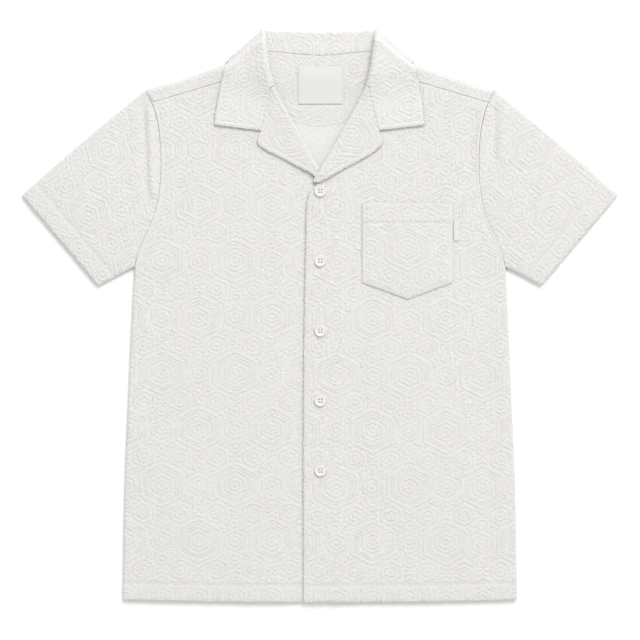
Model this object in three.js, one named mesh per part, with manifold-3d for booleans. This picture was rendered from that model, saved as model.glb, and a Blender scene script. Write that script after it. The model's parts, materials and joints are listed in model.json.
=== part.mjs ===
// A short-sleeved terry camp shirt, buttoned and laid flat on its back with the front up.
// Millimetres, +Z up. The floor is z = 0, +Y runs to the collar and +X to the wearer's left side.
// The origin is on the floor under the middle of the shirt's outline.
import * as THREE from "three";
import { mergeVertices } from "three/addons/utils/BufferGeometryUtils.js";
import Module from "manifold-3d";

// Cloth and the way the layers lie on each other
const CLOTH = 2.4; // terry cloth, one layer with its loops
const DOUBLED = 2.8; // two layers sewn together and pressed: collar and lapels
const SEAM = 0.3; // space between two pieces at a seam
const HOLLOW = 2.4; // space between the back and the fronts
const BACK_MID = CLOTH / 2;
const FRONT_MID = CLOTH * 1.5 + HOLLOW;
const FOLD_RADIUS = (FRONT_MID - BACK_MID) / 2;
const FOLD_INSET = FOLD_RADIUS + CLOTH / 2;

// Outline of the body, for x > 0; the other half is its mirror image
const HEM_CENTRE_Y = -371;
const HEM_CORNER_Y = -367.6;
const HEM_HALF_WIDTH = 256;
const UNDERARM = { x: 240.5, y: 62.7 };
const SHOULDER_TIP = { x: 227.5, y: 291.5 };
const NECK_POINT = { x: 82, y: 341 };
const SHOULDER_DIP = 2.2; // the shoulder line is this hollow between neck and tip
const SIDE_SEAM = [
  { y: -371, x: 256.1 },
  { y: -207, x: 252.9 },
  { y: -110, x: 248.8 },
  { y: -6, x: 244.4 },
  { y: 62.7, x: 240.5 },
];
const ARMHOLE = [
  { y: 62.7, x: 240.5 },
  { y: 83.5, x: 235.2 },
  { y: 101, x: 227.8 },
  { y: 120, x: 219.3 },
  { y: 142, x: 211.9 },
  { y: 169, x: 207.7 },
  { y: 202, x: 206.3 },
  { y: 228, x: 207.6 },
  { y: 254, x: 211.6 },
  { y: 276, x: 218.8 },
  { y: 291.5, x: 227.5 },
];

// Yoke seams: a shallow point on the back, and a line just below each shoulder on the front
const YOKE_BACK = { centreY: 244.7, rise: 17.8, spread: 48 };
const YOKE_FRONT = { neck: { x: 82, y: 316 }, armhole: { x: 218.7, y: 275.5 } };

// Neck opening. The neck seam runs round the back and down under each leaf, and the roll line is its visible edge
const NECK_SEAM_BACK = [
  { x: 0, y: 337 },
  { x: 27, y: 338.6 },
  { x: 50, y: 340.8 },
  { x: 70, y: 342 },
  { x: 82, y: 341 },
];
const NECK_SEAM_FRONT = [
  { y: 341, x: 80.8 },
  { y: 330, x: 83.8 },
  { y: 316, x: 82 },
  { y: 303, x: 77 },
  { y: 291, x: 70 },
  { y: 262, x: 54.7 },
  { y: 230, x: 36.6 },
  { y: 197, x: 17.5 },
  { y: 184.5, x: 8.6 },
  { y: 174, x: 0 },
  { y: 164, x: -9.6 },
  { y: 156, x: -14.2 },
  { y: 146, x: -16 },
  { y: 100, x: -17.6 },
  { y: 0, x: -19.6 },
  { y: -371, x: -21 },
];
// The lower front's free edge: it leaves the neck seam at the crossing and goes on under the upper front
const UNDER_EDGE = [
  { y: 191.5, x: 14 },
  { y: 189, x: 6 },
  { y: 186.4, x: -3 },
  { y: 178, x: -13 },
  { y: 166, x: -19 },
  { y: 152, x: -21 },
];
const ROLL_LINE = [
  { y: 366, x: 71.5 },
  { y: 342, x: 67.6 },
  { y: 319, x: 64.5 },
  { y: 296.5, x: 58.5 },
  { y: 263, x: 41.6 },
  { y: 247, x: 32 },
  { y: 225, x: 19.8 },
  { y: 203, x: 7.5 },
  { y: 190, x: -0.5 },
  { y: 179, x: -5 },
  { y: 171, x: -11 },
];

// How the layers step over each other
const OVERLAP_STEP = { height: 1.4, from: 54, to: 22 };
const FALL_LIFT = { height: 3.3, start: 26, full: 2, xFull: 124, xEnd: 152 };
const LEAF_GAP = 0.5; // space between a leaf and the panel below it
const NECK_GAP = 0.9; // the leaf's hidden edge stays this far inside the fronts' neck seam
const COLLAR_BACK_EDGE = [
  { x: 0, y: 318 },
  { x: 40, y: 318.4 },
  { x: 80, y: 320.4 },
  { x: 104, y: 323.6 },
  { x: 124, y: 327 },
];
const ROLL_HEIGHT = 2.2; // a leaf stands this much higher at its roll than where it lies down
const ROLL_SPREAD = 32;
const SHOULDER_CROWN = { height: 1.3, x: 112, y: 321, width: 26, depth: 10 }; // the leaf bulges where it goes over

// Soft folds and swells in the upper layer: a ridge or trough along a line
const FOLDS = [
  { x0: -224, y0: 268, x1: -219, y1: 166, width: 6, height: -1.3 },
  { x0: -236, y0: 262, x1: -233, y1: 180, width: 9, height: 1.9 },
  { x0: 221, y0: 268, x1: 219, y1: 205, width: 5.5, height: 1.5 },
  { x0: 233, y0: 266, x1: 229, y1: 208, width: 6, height: -1.2 },
  { x0: 195, y0: 262, x1: 193, y1: 200, width: 7, height: -1 },
  { x0: 214, y0: 40, x1: 222, y1: -330, width: 14, height: -0.7 },
  { x0: -120, y0: 120, x1: -170, y1: -250, width: 60, height: 0.9 },
  { x0: 110, y0: -40, x1: 150, y1: -300, width: 60, height: 0.9 },
  { x0: -60, y0: -120, x1: -90, y1: -330, width: 40, height: 0.8 },
];

// Sleeves
const CUFF_TOP = { x: 385.8, y: 157.2 };
const CUFF_BOTTOM = { x: 286, y: 38.8 };
const SLEEVE_LOFT = 1.4;
const SLEEVE_TOP_BOW = 1.6; // the upper edge of the sleeve is this much fuller than a straight line

// Pocket and labels
const POCKET = { left: 55, right: 171.8, top: 145.5, side: 42.6, tip: 21.2, wall: 2.2, belly: 0.9 };
const POCKET_TAB = { left: 173.4, right: 180.4, top: 121.6, bottom: 96.4, wall: 1.0 };
const NECK_LABEL = { halfWidth: 28.4, top: 322.6, bottom: 274.4, wall: 1.0 };

// Buttons
const BUTTON = { count: 5, x: 0.4, topY: 160.9, pitch: 90.6, radius: 7.5, height: 3, holeRadius: 0.95, holeOffset: 1.75 };

// Plain helpers
const clamp = (v, low, high) => Math.min(high, Math.max(low, v));
const mix = (a, b, f) => a + (b - a) * f;
const ease = (f) => {
  const c = clamp(f, 0, 1);
  return c * c * (3 - 2 * c);
};
const steps = (n, from = 0, to = 1) => Array.from({ length: n + 1 }, (_, i) => mix(from, to, i / n));

// A smooth curve through a table's rows: value column as a function of key column, flat past both ends.
function through(rows, key, value) {
  const sorted = [...rows].sort((a, b) => a[key] - b[key]);
  const k = sorted.map((r) => r[key]);
  const v = sorted.map((r) => r[value]);
  const last = k.length - 1;
  const secant = (i) => (v[i + 1] - v[i]) / (k[i + 1] - k[i]);
  const slope = k.map((_, i) => {
    if (i === 0) return secant(0);
    if (i === last) return secant(last - 1);
    return (secant(i - 1) * (k[i + 1] - k[i]) + secant(i) * (k[i] - k[i - 1])) / (k[i + 1] - k[i - 1]);
  });
  return (at) => {
    const a = clamp(at, k[0], k[last]);
    let i = 0;
    while (i < last - 1 && a > k[i + 1]) i += 1;
    const h = k[i + 1] - k[i];
    const f = (a - k[i]) / h;
    const g = 1 - f;
    return v[i] * g * g * (1 + 2 * f) + v[i + 1] * f * f * (3 - 2 * f) + slope[i] * h * f * g * g - slope[i + 1] * h * f * f * g;
  };
}

// Outline curves
const sideX = through(SIDE_SEAM, "y", "x");
const armholeX = through(ARMHOLE, "y", "x");
const neckBackY = through(NECK_SEAM_BACK, "x", "y");
const neckFrontX = through(NECK_SEAM_FRONT, "y", "x");
const rollX = through(ROLL_LINE, "y", "x");
const underEdgeX = through(UNDER_EDGE, "y", "x");
const collarBackY = through(COLLAR_BACK_EDGE, "x", "y");
const hemY = (x) => mix(HEM_CENTRE_Y, HEM_CORNER_Y, (x / HEM_HALF_WIDTH) ** 2);
const yokeBackY = (x) => YOKE_BACK.centreY + YOKE_BACK.rise * (1 - Math.exp(-((x / YOKE_BACK.spread) ** 2)));
const yokeFrontY = (x) => {
  const { neck, armhole } = YOKE_FRONT;
  return mix(neck.y, armhole.y, (Math.abs(x) - neck.x) / (armhole.x - neck.x));
};
const shoulderY = (x) => {
  const f = (Math.abs(x) - NECK_POINT.x) / (SHOULDER_TIP.x - NECK_POINT.x);
  return mix(NECK_POINT.y, SHOULDER_TIP.y, f) - SHOULDER_DIP * Math.sin(Math.PI * clamp(f, 0, 1));
};

// Heights of the layers
const lift = (x, y) => {
  const ax = Math.abs(x);
  const along = ease((y - (collarBackY(ax) - FALL_LIFT.start)) / (FALL_LIFT.start - FALL_LIFT.full));
  const across = ease((FALL_LIFT.xEnd - ax) / (FALL_LIFT.xEnd - FALL_LIFT.xFull));
  return FALL_LIFT.height * along * across;
};
const folds = (x, y) =>
  FOLDS.reduce((sum, f) => {
    const dx = f.x1 - f.x0;
    const dy = f.y1 - f.y0;
    const length = Math.hypot(dx, dy);
    const along = ((x - f.x0) * dx + (y - f.y0) * dy) / length;
    const across = Math.abs((x - f.x0) * dy - (y - f.y0) * dx) / length;
    const past = Math.max(0, -along, along - length);
    return sum + f.height * Math.exp(-((across / f.width) ** 2) - (past / (f.width * 1.6)) ** 2);
  }, 0);
const overlapStep = (own) => OVERLAP_STEP.height * ease((OVERLAP_STEP.from - own) / (OVERLAP_STEP.from - OVERLAP_STEP.to));
const backMid = (x, y) => BACK_MID + lift(x, y);
const upperMid = (x, y) => FRONT_MID + lift(x, y) + folds(x, y);
// side is 1 for the front that laps over, on the wearer's left, and -1 for the one below it
const frontMid = (side, x, y) => upperMid(x, y) + side * overlapStep(side * x);
const leafMid = (side, x, y) => {
  const fromRoll = (side * x - rollX(y)) * 0.88;
  const standing = ROLL_HEIGHT * (1 - ease(fromRoll / ROLL_SPREAD));
  const overShoulder = SHOULDER_CROWN.height * Math.exp(
    -(((side * x - SHOULDER_CROWN.x) / SHOULDER_CROWN.width) ** 2) - ((y - SHOULDER_CROWN.y) / SHOULDER_CROWN.depth) ** 2,
  );
  return frontMid(side, x, y) + CLOTH / 2 + LEAF_GAP + DOUBLED / 2 + standing + overShoulder;
};

// Turns a sheet of quads into a closed wall: each point goes half the wall out along its normal, both ways,
// and the free edges are closed. wall is one thickness or one for each point.
function thicken(points, quads, wall) {
  const at = points.map((p) => new THREE.Vector3(...p));
  const normals = at.map(() => new THREE.Vector3());
  const halfOf = (i) => (Array.isArray(wall) ? wall[i] : wall) / 2;
  for (const q of quads) {
    const across = new THREE.Vector3().subVectors(at[q[2]], at[q[0]]);
    const along = new THREE.Vector3().subVectors(at[q[3]], at[q[1]]);
    const normal = across.cross(along);
    q.forEach((i) => normals[i].add(normal));
  }
  const n = at.length;
  const position = new Float32Array(n * 6);
  at.forEach((p, i) => {
    normals[i].normalize().multiplyScalar(halfOf(i));
    position.set([p.x + normals[i].x, p.y + normals[i].y, p.z + normals[i].z], i * 3);
    position.set([p.x - normals[i].x, p.y - normals[i].y, p.z - normals[i].z], (n + i) * 3);
  });
  const index = [];
  const edges = new Map();
  for (const [a, b, c, d] of quads) {
    index.push(a, b, c, a, c, d);
    index.push(n + a, n + c, n + b, n + a, n + d, n + c);
    for (const [s, e] of [[a, b], [b, c], [c, d], [d, a]]) {
      if (!edges.delete(`${e}_${s}`)) edges.set(`${s}_${e}`, [s, e]);
    }
  }
  for (const [s, e] of edges.values()) index.push(e, s, n + s, e, n + s, n + e);
  return new THREE.BufferGeometry().setAttribute("position", new THREE.BufferAttribute(position, 3)).setIndex(index);
}

// A grid of points as a sheet. rows is a list of equally long lists of points.
function sheetOf(rows, closed = false) {
  const width = rows[0].length;
  const quads = [];
  for (let r = 0; r + 1 < rows.length; r += 1) {
    for (let c = 0; c + (closed ? 0 : 1) < width; c += 1) {
      const next = (c + 1) % width;
      quads.push([r * width + c, r * width + next, (r + 1) * width + next, (r + 1) * width + c]);
    }
  }
  return { points: rows.flat(), quads };
}

const wallOf = (rows, wall, closed) => {
  const { points, quads } = sheetOf(rows, closed);
  return thicken(points, quads, wall);
};

// Rows of the body, each named by the height of its outer end. The sleeves share the ones on the armhole.
const SIDE_ROWS = [-367.6, -340, -285, -207, -110, -6, 48, 58, 64, 72];
const ARMHOLE_ROWS = [84, 101, 120, 142, 169, 202, 228, 262];
const SIDE_TURN = [90, 60, 34, 20, 11];
const sideTurn = (y) => ease((UNDERARM.y + 5 - y) / 9);
// A point of a panel's outer end. angle 90 is where it still lies flat and 0 would be the seam at mid height.
function edgePoint(side, y, angle, isBack) {
  const turned = sideTurn(y);
  const a = THREE.MathUtils.degToRad(angle);
  const outline = y > UNDERARM.y ? armholeX(y) : sideX(y);
  const flatStep = mix(4 * (angle / 90), 0, turned);
  const x = side * (outline - FOLD_INSET * turned + FOLD_RADIUS * Math.cos(a) * turned - flatStep);
  const rise = FOLD_RADIUS * (1 - Math.sin(a)) * turned;
  return [x, y, isBack ? BACK_MID + rise : upperMid(x, y) - rise];
}
const flatHalf = (y) => edgePoint(1, y, 90, true)[0];

// The yoke's columns are spread evenly between the middle and the armhole at every height
const spreadAt = (y) => armholeX(Math.min(y, SHOULDER_TIP.y)) / SHOULDER_TIP.x;
const seamPoint = (u, seamY) => {
  let y = seamY(u);
  for (let pass = 0; pass < 12; pass += 1) y = seamY(u * spreadAt(y));
  return { x: u * spreadAt(y), y };
};

// Back panel: flat on the floor, its sides turned up to the side seams
const NECK_COLUMNS = [0, 14, 28, 42, 56, 70];
const BACK_COLUMNS = [...NECK_COLUMNS, 92, 128, 176];
function backPanel() {
  const topY = YOKE_BACK.centreY + YOKE_BACK.rise - SEAM;
  const halves = BACK_COLUMNS.slice(1).map((u) => seamPoint(u, yokeBackY).x / flatHalf(topY));
  const inner = [...[...halves].reverse().map((u) => -u), 0, ...halves];
  const rows = [...SIDE_ROWS, ...ARMHOLE_ROWS.slice(0, -1), topY].map((key) => {
    const f = (key - HEM_CORNER_Y) / (topY - HEM_CORNER_Y);
    const half = flatHalf(key);
    const bend = (x) => mix(hemY(x) - HEM_CORNER_Y, yokeBackY(x) - SEAM - topY, f);
    const middle = inner.map((u) => {
      const x = u * half;
      const y = key + bend(x);
      return [x, y, backMid(x, y)];
    });
    const end = (side) => SIDE_TURN.map((angle) => edgePoint(side, key, angle, true));
    return [...end(-1).reverse(), ...middle, ...end(1)];
  });
  return wallOf(rows, CLOTH);
}

// Front panels: side 1 laps over and side -1 lies below it
const STEP_COLUMNS = [-8, 8, OVERLAP_STEP.to, (OVERLAP_STEP.to + OVERLAP_STEP.from) / 2, OVERLAP_STEP.from];
const FRONT_COLUMNS = [0.16, 0.34, 0.52, 0.7, 0.86];
const CROSSING_ROWS = [151, 160, 173, 177, 180, 184, 214, 245];
function frontPanel(side) {
  const topY = YOKE_FRONT.armhole.y - SEAM;
  const fanFrom = 142; // rows are level up to here and then spread to the sloping yoke seam
  const keys = [...SIDE_ROWS, ...ARMHOLE_ROWS, ...CROSSING_ROWS, topY].sort((a, b) => a - b);
  const innerX = (y) => (side > 0 || y > UNDER_EDGE[0].y ? neckFrontX(y) + SEAM : underEdgeX(y));
  const rows = keys.map((key) => {
    const f = (key - HEM_CORNER_Y) / (topY - HEM_CORNER_Y);
    const fan = ease((key - fanFrom) / (topY - fanFrom));
    const tilt = (own) => yokeFrontY(Math.max(own, YOKE_FRONT.neck.x)) - YOKE_FRONT.armhole.y;
    const rowY = (own) => key + (hemY(own) - HEM_CORNER_Y) * (1 - f) + tilt(own) * fan;
    let inX = innerX(key);
    for (let pass = 0; pass < 12; pass += 1) inX = mix(inX, innerX(rowY(inX)), 0.6);
    const own = STEP_COLUMNS.map((x, i) => Math.max(x, inX + 6 + 7 * i));
    const last = own[own.length - 1];
    const flatX = Math.abs(edgePoint(1, key, 90, false)[0]);
    const across = [inX, ...own, ...FRONT_COLUMNS.map((u) => mix(last, flatX, u))];
    const middle = across.map((x) => [side * x, rowY(x), frontMid(side, side * x, rowY(x))]);
    return [...middle, ...SIDE_TURN.map((angle) => edgePoint(side, key, angle, false))];
  });
  return wallOf(side > 0 ? rows : rows.map((r) => r.reverse()), CLOTH);
}

// Yoke: from the back seam up over each shoulder and down to the front seams
const SHOULDER_COLUMNS = [82, 92, 104, 116, 128, 142, 158, 176, 196, 214, 227.5];
const SHOULDER_TURN = [36, 72, 108, 144];
function yoke() {
  const tip = SHOULDER_TIP.x;
  const columnX = (u, y) => u * spreadAt(y) - (u === tip ? SEAM / 2 : 0);
  const columnOf = (side, u) => {
    const onShoulder = u >= NECK_POINT.x;
    const isNeck = u === NECK_POINT.x;
    const f = clamp((u - NECK_POINT.x) / (tip - NECK_POINT.x), 0, 1);
    const lean = new THREE.Vector2(mix(0.16, 0.487, f), mix(0.987, 0.873, f)).normalize();
    const topX = onShoulder ? u + (isNeck ? SEAM : 0) - FOLD_INSET * lean.x : u;
    const topY = onShoulder ? shoulderY(u) - FOLD_INSET * lean.y : neckBackY(u) - SEAM;
    const seam = seamPoint(u, yokeBackY);
    const edge = Math.min(collarBackY(u), topY);
    const start = edge - FALL_LIFT.start;
    const climb = [start, edge - 18, edge - 11, edge - FALL_LIFT.full];
    const ys = [seam.y, mix(seam.y, start, 0.5), ...climb.map((y) => Math.max(y, seam.y + 4)), mix(edge - FALL_LIFT.full, topY, 0.5), topY];
    const ordered = ys.map((y, i) => Math.max(y, seam.y + i * 1.2));
    const points = ordered.map((y) => {
      const v = (y - seam.y) / (topY - seam.y);
      const x = side * mix(columnX(u, y), topX, clamp(v, 0, 1) ** 6);
      return [x, y, backMid(x, y)];
    });
    if (!onShoulder) return points;
    for (const angle of SHOULDER_TURN) {
      const a = THREE.MathUtils.degToRad(angle);
      const out = FOLD_RADIUS * Math.sin(a);
      const x = topX + lean.x * out;
      points.push([side * x, topY + lean.y * out, FRONT_MID - FOLD_RADIUS * (1 + Math.cos(a)) + lift(topX, topY)]);
    }
    const frontSeam = seamPoint(u, yokeFrontY);
    for (const v of [0, 0.3, 0.65, 1]) {
      const y = mix(topY, frontSeam.y, v);
      const own = isNeck ? neckFrontX(y) + SEAM : columnX(u, y);
      const x = side * mix(topX, own, ease(v * 2));
      points.push([x, y, upperMid(x, y)]);
    }
    return points;
  };
  const half = [...NECK_COLUMNS.slice(1), ...SHOULDER_COLUMNS];
  const columns = [...[...half].reverse().map((u) => columnOf(-1, u)), columnOf(1, 0), ...half.map((u) => columnOf(1, u))];
  const points = [];
  const ids = columns.map((column) => column.map((p) => points.push(p) - 1));
  const quads = [];
  for (let c = 0; c + 1 < ids.length; c += 1) {
    const shared = Math.min(ids[c].length, ids[c + 1].length);
    for (let r = 0; r + 1 < shared; r += 1) quads.push([ids[c][r], ids[c + 1][r], ids[c + 1][r + 1], ids[c][r + 1]]);
  }
  return thicken(points, quads, CLOTH);
}

// Sleeve: rings from the armhole to the cuff, each along the top layer, round the upper fold, back along the
// bottom layer and round the underarm fold
const SLEEVE_RINGS = [0, 0.05, 0.11, 0.19, 0.31, 0.48, 0.66, 0.84, 1];
const RING_TURN = [36, 72, 108, 144];
function sleeve(side) {
  const holeY = (q) => mix(UNDERARM.y, SHOULDER_TIP.y, q);
  const knots = [...ARMHOLE_ROWS, YOKE_FRONT.armhole.y].filter((y) => y !== 101);
  const across = knots.map((y) => (y - UNDERARM.y) / (SHOULDER_TIP.y - UNDERARM.y));
  const planAt = (s, q) => {
    const hy = holeY(q);
    const ends = ease(Math.abs(q - 0.5) * 10 - 4);
    const seam = { x: armholeX(hy) + SEAM * 1.2 + 0.9 * ends, y: hy };
    const cuff = { x: mix(CUFF_BOTTOM.x, CUFF_TOP.x, q), y: mix(CUFF_BOTTOM.y, CUFF_TOP.y, q) };
    const bow = SLEEVE_TOP_BOW * Math.sin(Math.PI * s) * ease(q * 3 - 2);
    return { x: mix(seam.x, cuff.x, s) + bow * 0.65, y: mix(seam.y, cuff.y, s) + bow * 0.76 };
  };
  const rings = SLEEVE_RINGS.map((s) => {
    const low = planAt(s, 0);
    const high = planAt(s, 1);
    const lowNext = planAt(s, 0.03);
    const highNext = planAt(s, 0.97);
    const unit = (a, b) => new THREE.Vector2(b.x - a.x, b.y - a.y).normalize();
    const lowDir = unit(low, lowNext);
    const highDir = unit(high, highNext);
    const lowCentre = { x: low.x + lowDir.x * FOLD_INSET, y: low.y + lowDir.y * FOLD_INSET };
    const highCentre = { x: high.x + highDir.x * FOLD_INSET, y: high.y + highDir.y * FOLD_INSET };
    const length = Math.hypot(high.x - low.x, high.y - low.y);
    const loft = (q) => SLEEVE_LOFT * Math.sin(Math.PI * s) * Math.sqrt(Math.sin(Math.PI * q));
    const flat = [
      { ...lowCentre, q: 0 },
      ...across.map((q) => ({ ...planAt(s, q), q })),
      { ...highCentre, q: 1 },
    ];
    const topZ = (p) => FRONT_MID + folds(side * p.x, p.y) + loft(p.q);
    const fold = (centre, dir, order) =>
      order.map((angle) => {
        const a = THREE.MathUtils.degToRad(angle);
        const out = -FOLD_RADIUS * Math.sin(a);
        return [side * (centre.x + dir.x * out), centre.y + dir.y * out, BACK_MID + FOLD_RADIUS * (1 + Math.cos(a))];
      });
    return [
      ...flat.map((p) => [side * p.x, p.y, topZ(p)]),
      ...fold(highCentre, highDir, RING_TURN),
      ...[...flat].reverse().map((p) => [side * p.x, p.y, BACK_MID]),
      ...fold(lowCentre, lowDir, [...RING_TURN].reverse()),
    ];
  });
  const ordered = side > 0 ? rings.map((r) => [...r].reverse()) : rings;
  return wallOf(ordered, CLOTH, true);
}

// Collar and lapels are sections of one kind: a part below, a roll, and a leaf folded back over it.
const UNDER_STEPS = [0, 0.5];
const ROLL_STEPS = [0, 36, 72, 108, 144, 180];
const LEAF_STEPS = [0.14, 0.32, 0.54, 0.77, 1];
// neck, roll and edge are plan points for x > 0, and side mirrors the section.
// turn is 0 on the back, where the leaf lies below, 90 round the shoulder and 180 on the front, where it lies on top.
// square says how far the roll is turned from the row's own direction to square with the roll line: 0 none, 1 fully.
function foldSection(side, { neck, roll, edge, turn, square = turn === 180 ? 1 : 0 }) {
  const alongRow = new THREE.Vector2(roll.x - neck.x, roll.y - neck.y).normalize();
  const acrossRoll = new THREE.Vector2(-2, rollX(roll.y + 1) - rollX(roll.y - 1)).normalize();
  const inward = alongRow.lerp(acrossRoll, square).normalize();
  const t = THREE.MathUtils.degToRad(turn);
  const front = turn === 180;
  const underZ = (p) => (front ? frontMid(side, side * p.x, p.y) : STAND_BACK_Z - STAND_TURN * (Math.cos(t) - 1));
  const leafZ = (p) => leafMid(side, side * p.x, p.y);
  const guess = { x: roll.x - inward.x * 4, y: roll.y - inward.y * 4 };
  const radius = front ? (leafZ(guess) - underZ(guess)) / 2 : mix(BACK_ROLL_RADIUS, 2.4, ease(turn / 180));
  const reach = DOUBLED / 2 + radius;
  const centre = { x: roll.x - inward.x * reach, y: roll.y - inward.y * reach };
  const out = new THREE.Vector2(inward.y, -inward.x);
  const outward = new THREE.Vector3(out.x * Math.sin(t), out.y * Math.sin(t), -Math.cos(t));
  const place = (x, y, z) => [side * x, y, z];
  const points = UNDER_STEPS.map((f) => {
    const p = { x: mix(neck.x, centre.x, f), y: mix(neck.y, centre.y, f) };
    return place(p.x, p.y, underZ(p));
  });
  const z0 = underZ(centre);
  for (const angle of ROLL_STEPS) {
    const a = THREE.MathUtils.degToRad(angle);
    const along = radius * Math.sin(a);
    const over = radius * (1 - Math.cos(a));
    points.push(place(centre.x + inward.x * along + outward.x * over, centre.y + inward.y * along + outward.y * over, z0 + outward.z * over));
  }
  const start = { x: centre.x + outward.x * radius * 2, y: centre.y + outward.y * radius * 2, z: z0 + outward.z * radius * 2 };
  for (const f of LEAF_STEPS) {
    const p = { x: mix(start.x, edge.x, f), y: mix(start.y, edge.y, f) };
    points.push(place(p.x, p.y, front ? leafZ(p) : mix(start.z, edge.z, f)));
  }
  return points;
}

// Collar rows from the middle of the back round the shoulder to where the roll meets the gorge seam.
// neck is where the row starts on the neck seam: its x on the back and, once past the shoulder, its y.
// inset is how far its hidden edge keeps off that seam, where this isn't the usual gap.
const FALL_Z = DOUBLED / 2;
const BACK_ROLL_RADIUS = 1.7;
const STAND_BACK_Z = FALL_Z + 2 * BACK_ROLL_RADIUS;
const STAND_TURN = 2.3;
const STAND_WALL = 1.7; // the stand is thinner toward the neck seam, where it is pressed
const FALL_TURN = { x: 118, y: 325.2, z: 7.5, radius: 6.1, outX: 0.6325, outY: 0.7746 };
const fallTurnPoint = (turn) => {
  const t = THREE.MathUtils.degToRad(turn);
  const out = FALL_TURN.radius * Math.sin(t);
  return { x: FALL_TURN.x + FALL_TURN.outX * out, y: FALL_TURN.y + FALL_TURN.outY * out, z: FALL_TURN.z - FALL_TURN.radius * Math.cos(t) };
};
const COLLAR_ROWS = [
  { turn: 0, neck: 0, rollX: 0, rollY: 368.2, edgeX: 0, edgeY: 318 },
  { turn: 0, neck: 14, rollX: 14, rollY: 368.4, edgeX: 21, edgeY: 318 },
  { turn: 0, neck: 28, rollX: 28, rollY: 368.8, edgeX: 42, edgeY: 318.4 },
  { turn: 0, neck: 42, rollX: 41.6, rollY: 369.3, edgeX: 63, edgeY: 319.3 },
  { turn: 0, neck: 56, rollX: 54, rollY: 369.8, edgeX: 86, edgeY: 321 },
  { turn: 0, neck: 70, rollX: 64.5, rollY: 370.2, edgeX: 107, edgeY: 323.8 },
  { turn: 0, neck: 77.3, rollX: 69, rollY: 370.4 },
  { turn: 45, neck: 79.1, rollX: 70.8, rollY: 370.4 },
  { turn: 90, neck: 79.9, rollX: 71.6, rollY: 370.2 },
  { turn: 135, neck: 340.6, inset: 1.8, rollX: 70.9, rollY: 367.4, square: 0.25 },
  { turn: 162, neck: 339.6, inset: 2.9, rollX: 70, rollY: 364, square: 0.45 },
  { turn: 180, neck: 334.5, inset: 3.6, rollX: 69.6, rollY: 355.4, edgeX: 123, edgeY: 318.4 },
  { turn: 180, neck: 329, inset: 3.5, rollX: 68, rollY: 345.6, edgeX: 127, edgeY: 305 },
  { turn: 180, neck: 322, inset: 1.6, rollX: 66.4, rollY: 333, edgeX: 129.2, edgeY: 294 },
  { turn: 180, neck: 312, rollX: 63.8, rollY: 317, edgeX: 131.6, edgeY: 281 },
  { turn: 180, neck: 302, rollX: 61, rollY: 305, edgeX: 133.4, edgeY: 271.4 },
  { turn: 180, neck: 294, rollX: 58.8, rollY: 297.2, edgeX: 134.6, edgeY: 263.6 },
];
const neckPoint = (turn, neck, inset = NECK_GAP) => {
  if (turn > 90) return { x: neckFrontX(neck) - inset, y: neck };
  return { x: neck, y: neckBackY(neck) };
};
const GORGE = [
  { gorgeX: 67.3, gorgeY: 279, edgeX: 135.2, edgeY: 259 },
  { gorgeX: 72.8, gorgeY: 261, edgeX: 135.7, edgeY: 254.6 },
  { gorgeX: 78.2, gorgeY: 243.2, edgeX: 136, edgeY: 250.4 },
];
function collar() {
  const section = (side, r) => {
    const edge = r.edgeX === undefined ? fallTurnPoint(r.turn) : { x: r.edgeX, y: r.edgeY, z: FALL_Z };
    return foldSection(side, { turn: r.turn, square: r.square, neck: neckPoint(r.turn, r.neck, r.inset), roll: { x: r.rollX, y: r.rollY }, edge });
  };
  const half = (side) => COLLAR_ROWS.map((r) => section(side, r));
  const rows = [...half(-1).reverse().slice(0, -1), ...half(1)];
  const { points, quads } = sheetOf(rows);
  const width = rows[0].length;
  const leafFrom = UNDER_STEPS.length + ROLL_STEPS.length - 1;
  for (const side of [-1, 1]) {
    const first = side > 0 ? (rows.length - 1) * width : 0;
    let previous = steps(width - 1 - leafFrom, leafFrom, width - 1).map((c) => first + c);
    for (const g of GORGE) {
      const next = [0, ...LEAF_STEPS].map((f) => {
        const x = mix(g.gorgeX, g.edgeX, f);
        const y = mix(g.gorgeY, g.edgeY, f);
        return points.push([side * x, y, leafMid(side, side * x, y)]) - 1;
      });
      for (let c = 0; c + 1 < next.length; c += 1) {
        const quad = [previous[c], previous[c + 1], next[c + 1], next[c]];
        quads.push(side > 0 ? quad : quad.reverse());
      }
      previous = next;
    }
  }
  const isStand = (i) => i < rows.length * width && i % width <= UNDER_STEPS.length;
  return thicken(points, quads, points.map((_, i) => (isStand(i) ? STAND_WALL : DOUBLED)));
}

// Lapels: the facing folded back over each front, from the gorge seam to where the fronts cross
const LAPEL_ROWS = [
  { neck: 292, rollX: 57.8, rollY: 295.2, edgeX: 77.2, edgeY: 242.4 },
  { neck: 278, rollX: 51.2, rollY: 281.6, edgeX: 79.3, edgeY: 232.6 },
  { neck: 262, rollX: 43.8, rollY: 267.2, edgeX: 80.6, edgeY: 223.6 },
  { neck: 246, rollX: 35.4, rollY: 252.4, edgeX: 71.5, edgeY: 214.6 },
  { neck: 230, rollX: 26.3, rollY: 236.6, edgeX: 56, edgeY: 206 },
  { neck: 213.6, rollX: 16.8, rollY: 219.6, edgeX: 40, edgeY: 197.4 },
];
const OVER_LAPEL_END = [
  { neck: 197.4, rollX: 7.6, rollY: 203.2, edgeX: 24, edgeY: 189 },
  { neck: 185, rollX: -0.4, rollY: 190.4, edgeX: 11.6, edgeY: 181 },
  { neck: 178, rollX: -5.4, rollY: 181.8, edgeX: 3.4, edgeY: 176.2 },
  { neck: 172.4, rollX: -10.2, rollY: 174.6, edgeX: -3, edgeY: 171.8 },
];
const UNDER_LAPEL_END = [
  { neck: 201, rollX: 9.4, rollY: 206, edgeX: 24, edgeY: 189 },
  { neck: 193.4, rollX: 4.6, rollY: 198, edgeX: 12.4, edgeY: 184.4 },
];
const LOWER_EDGE_SHIFT = 2; // the lower edges of the two lapels differ by twice this
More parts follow.
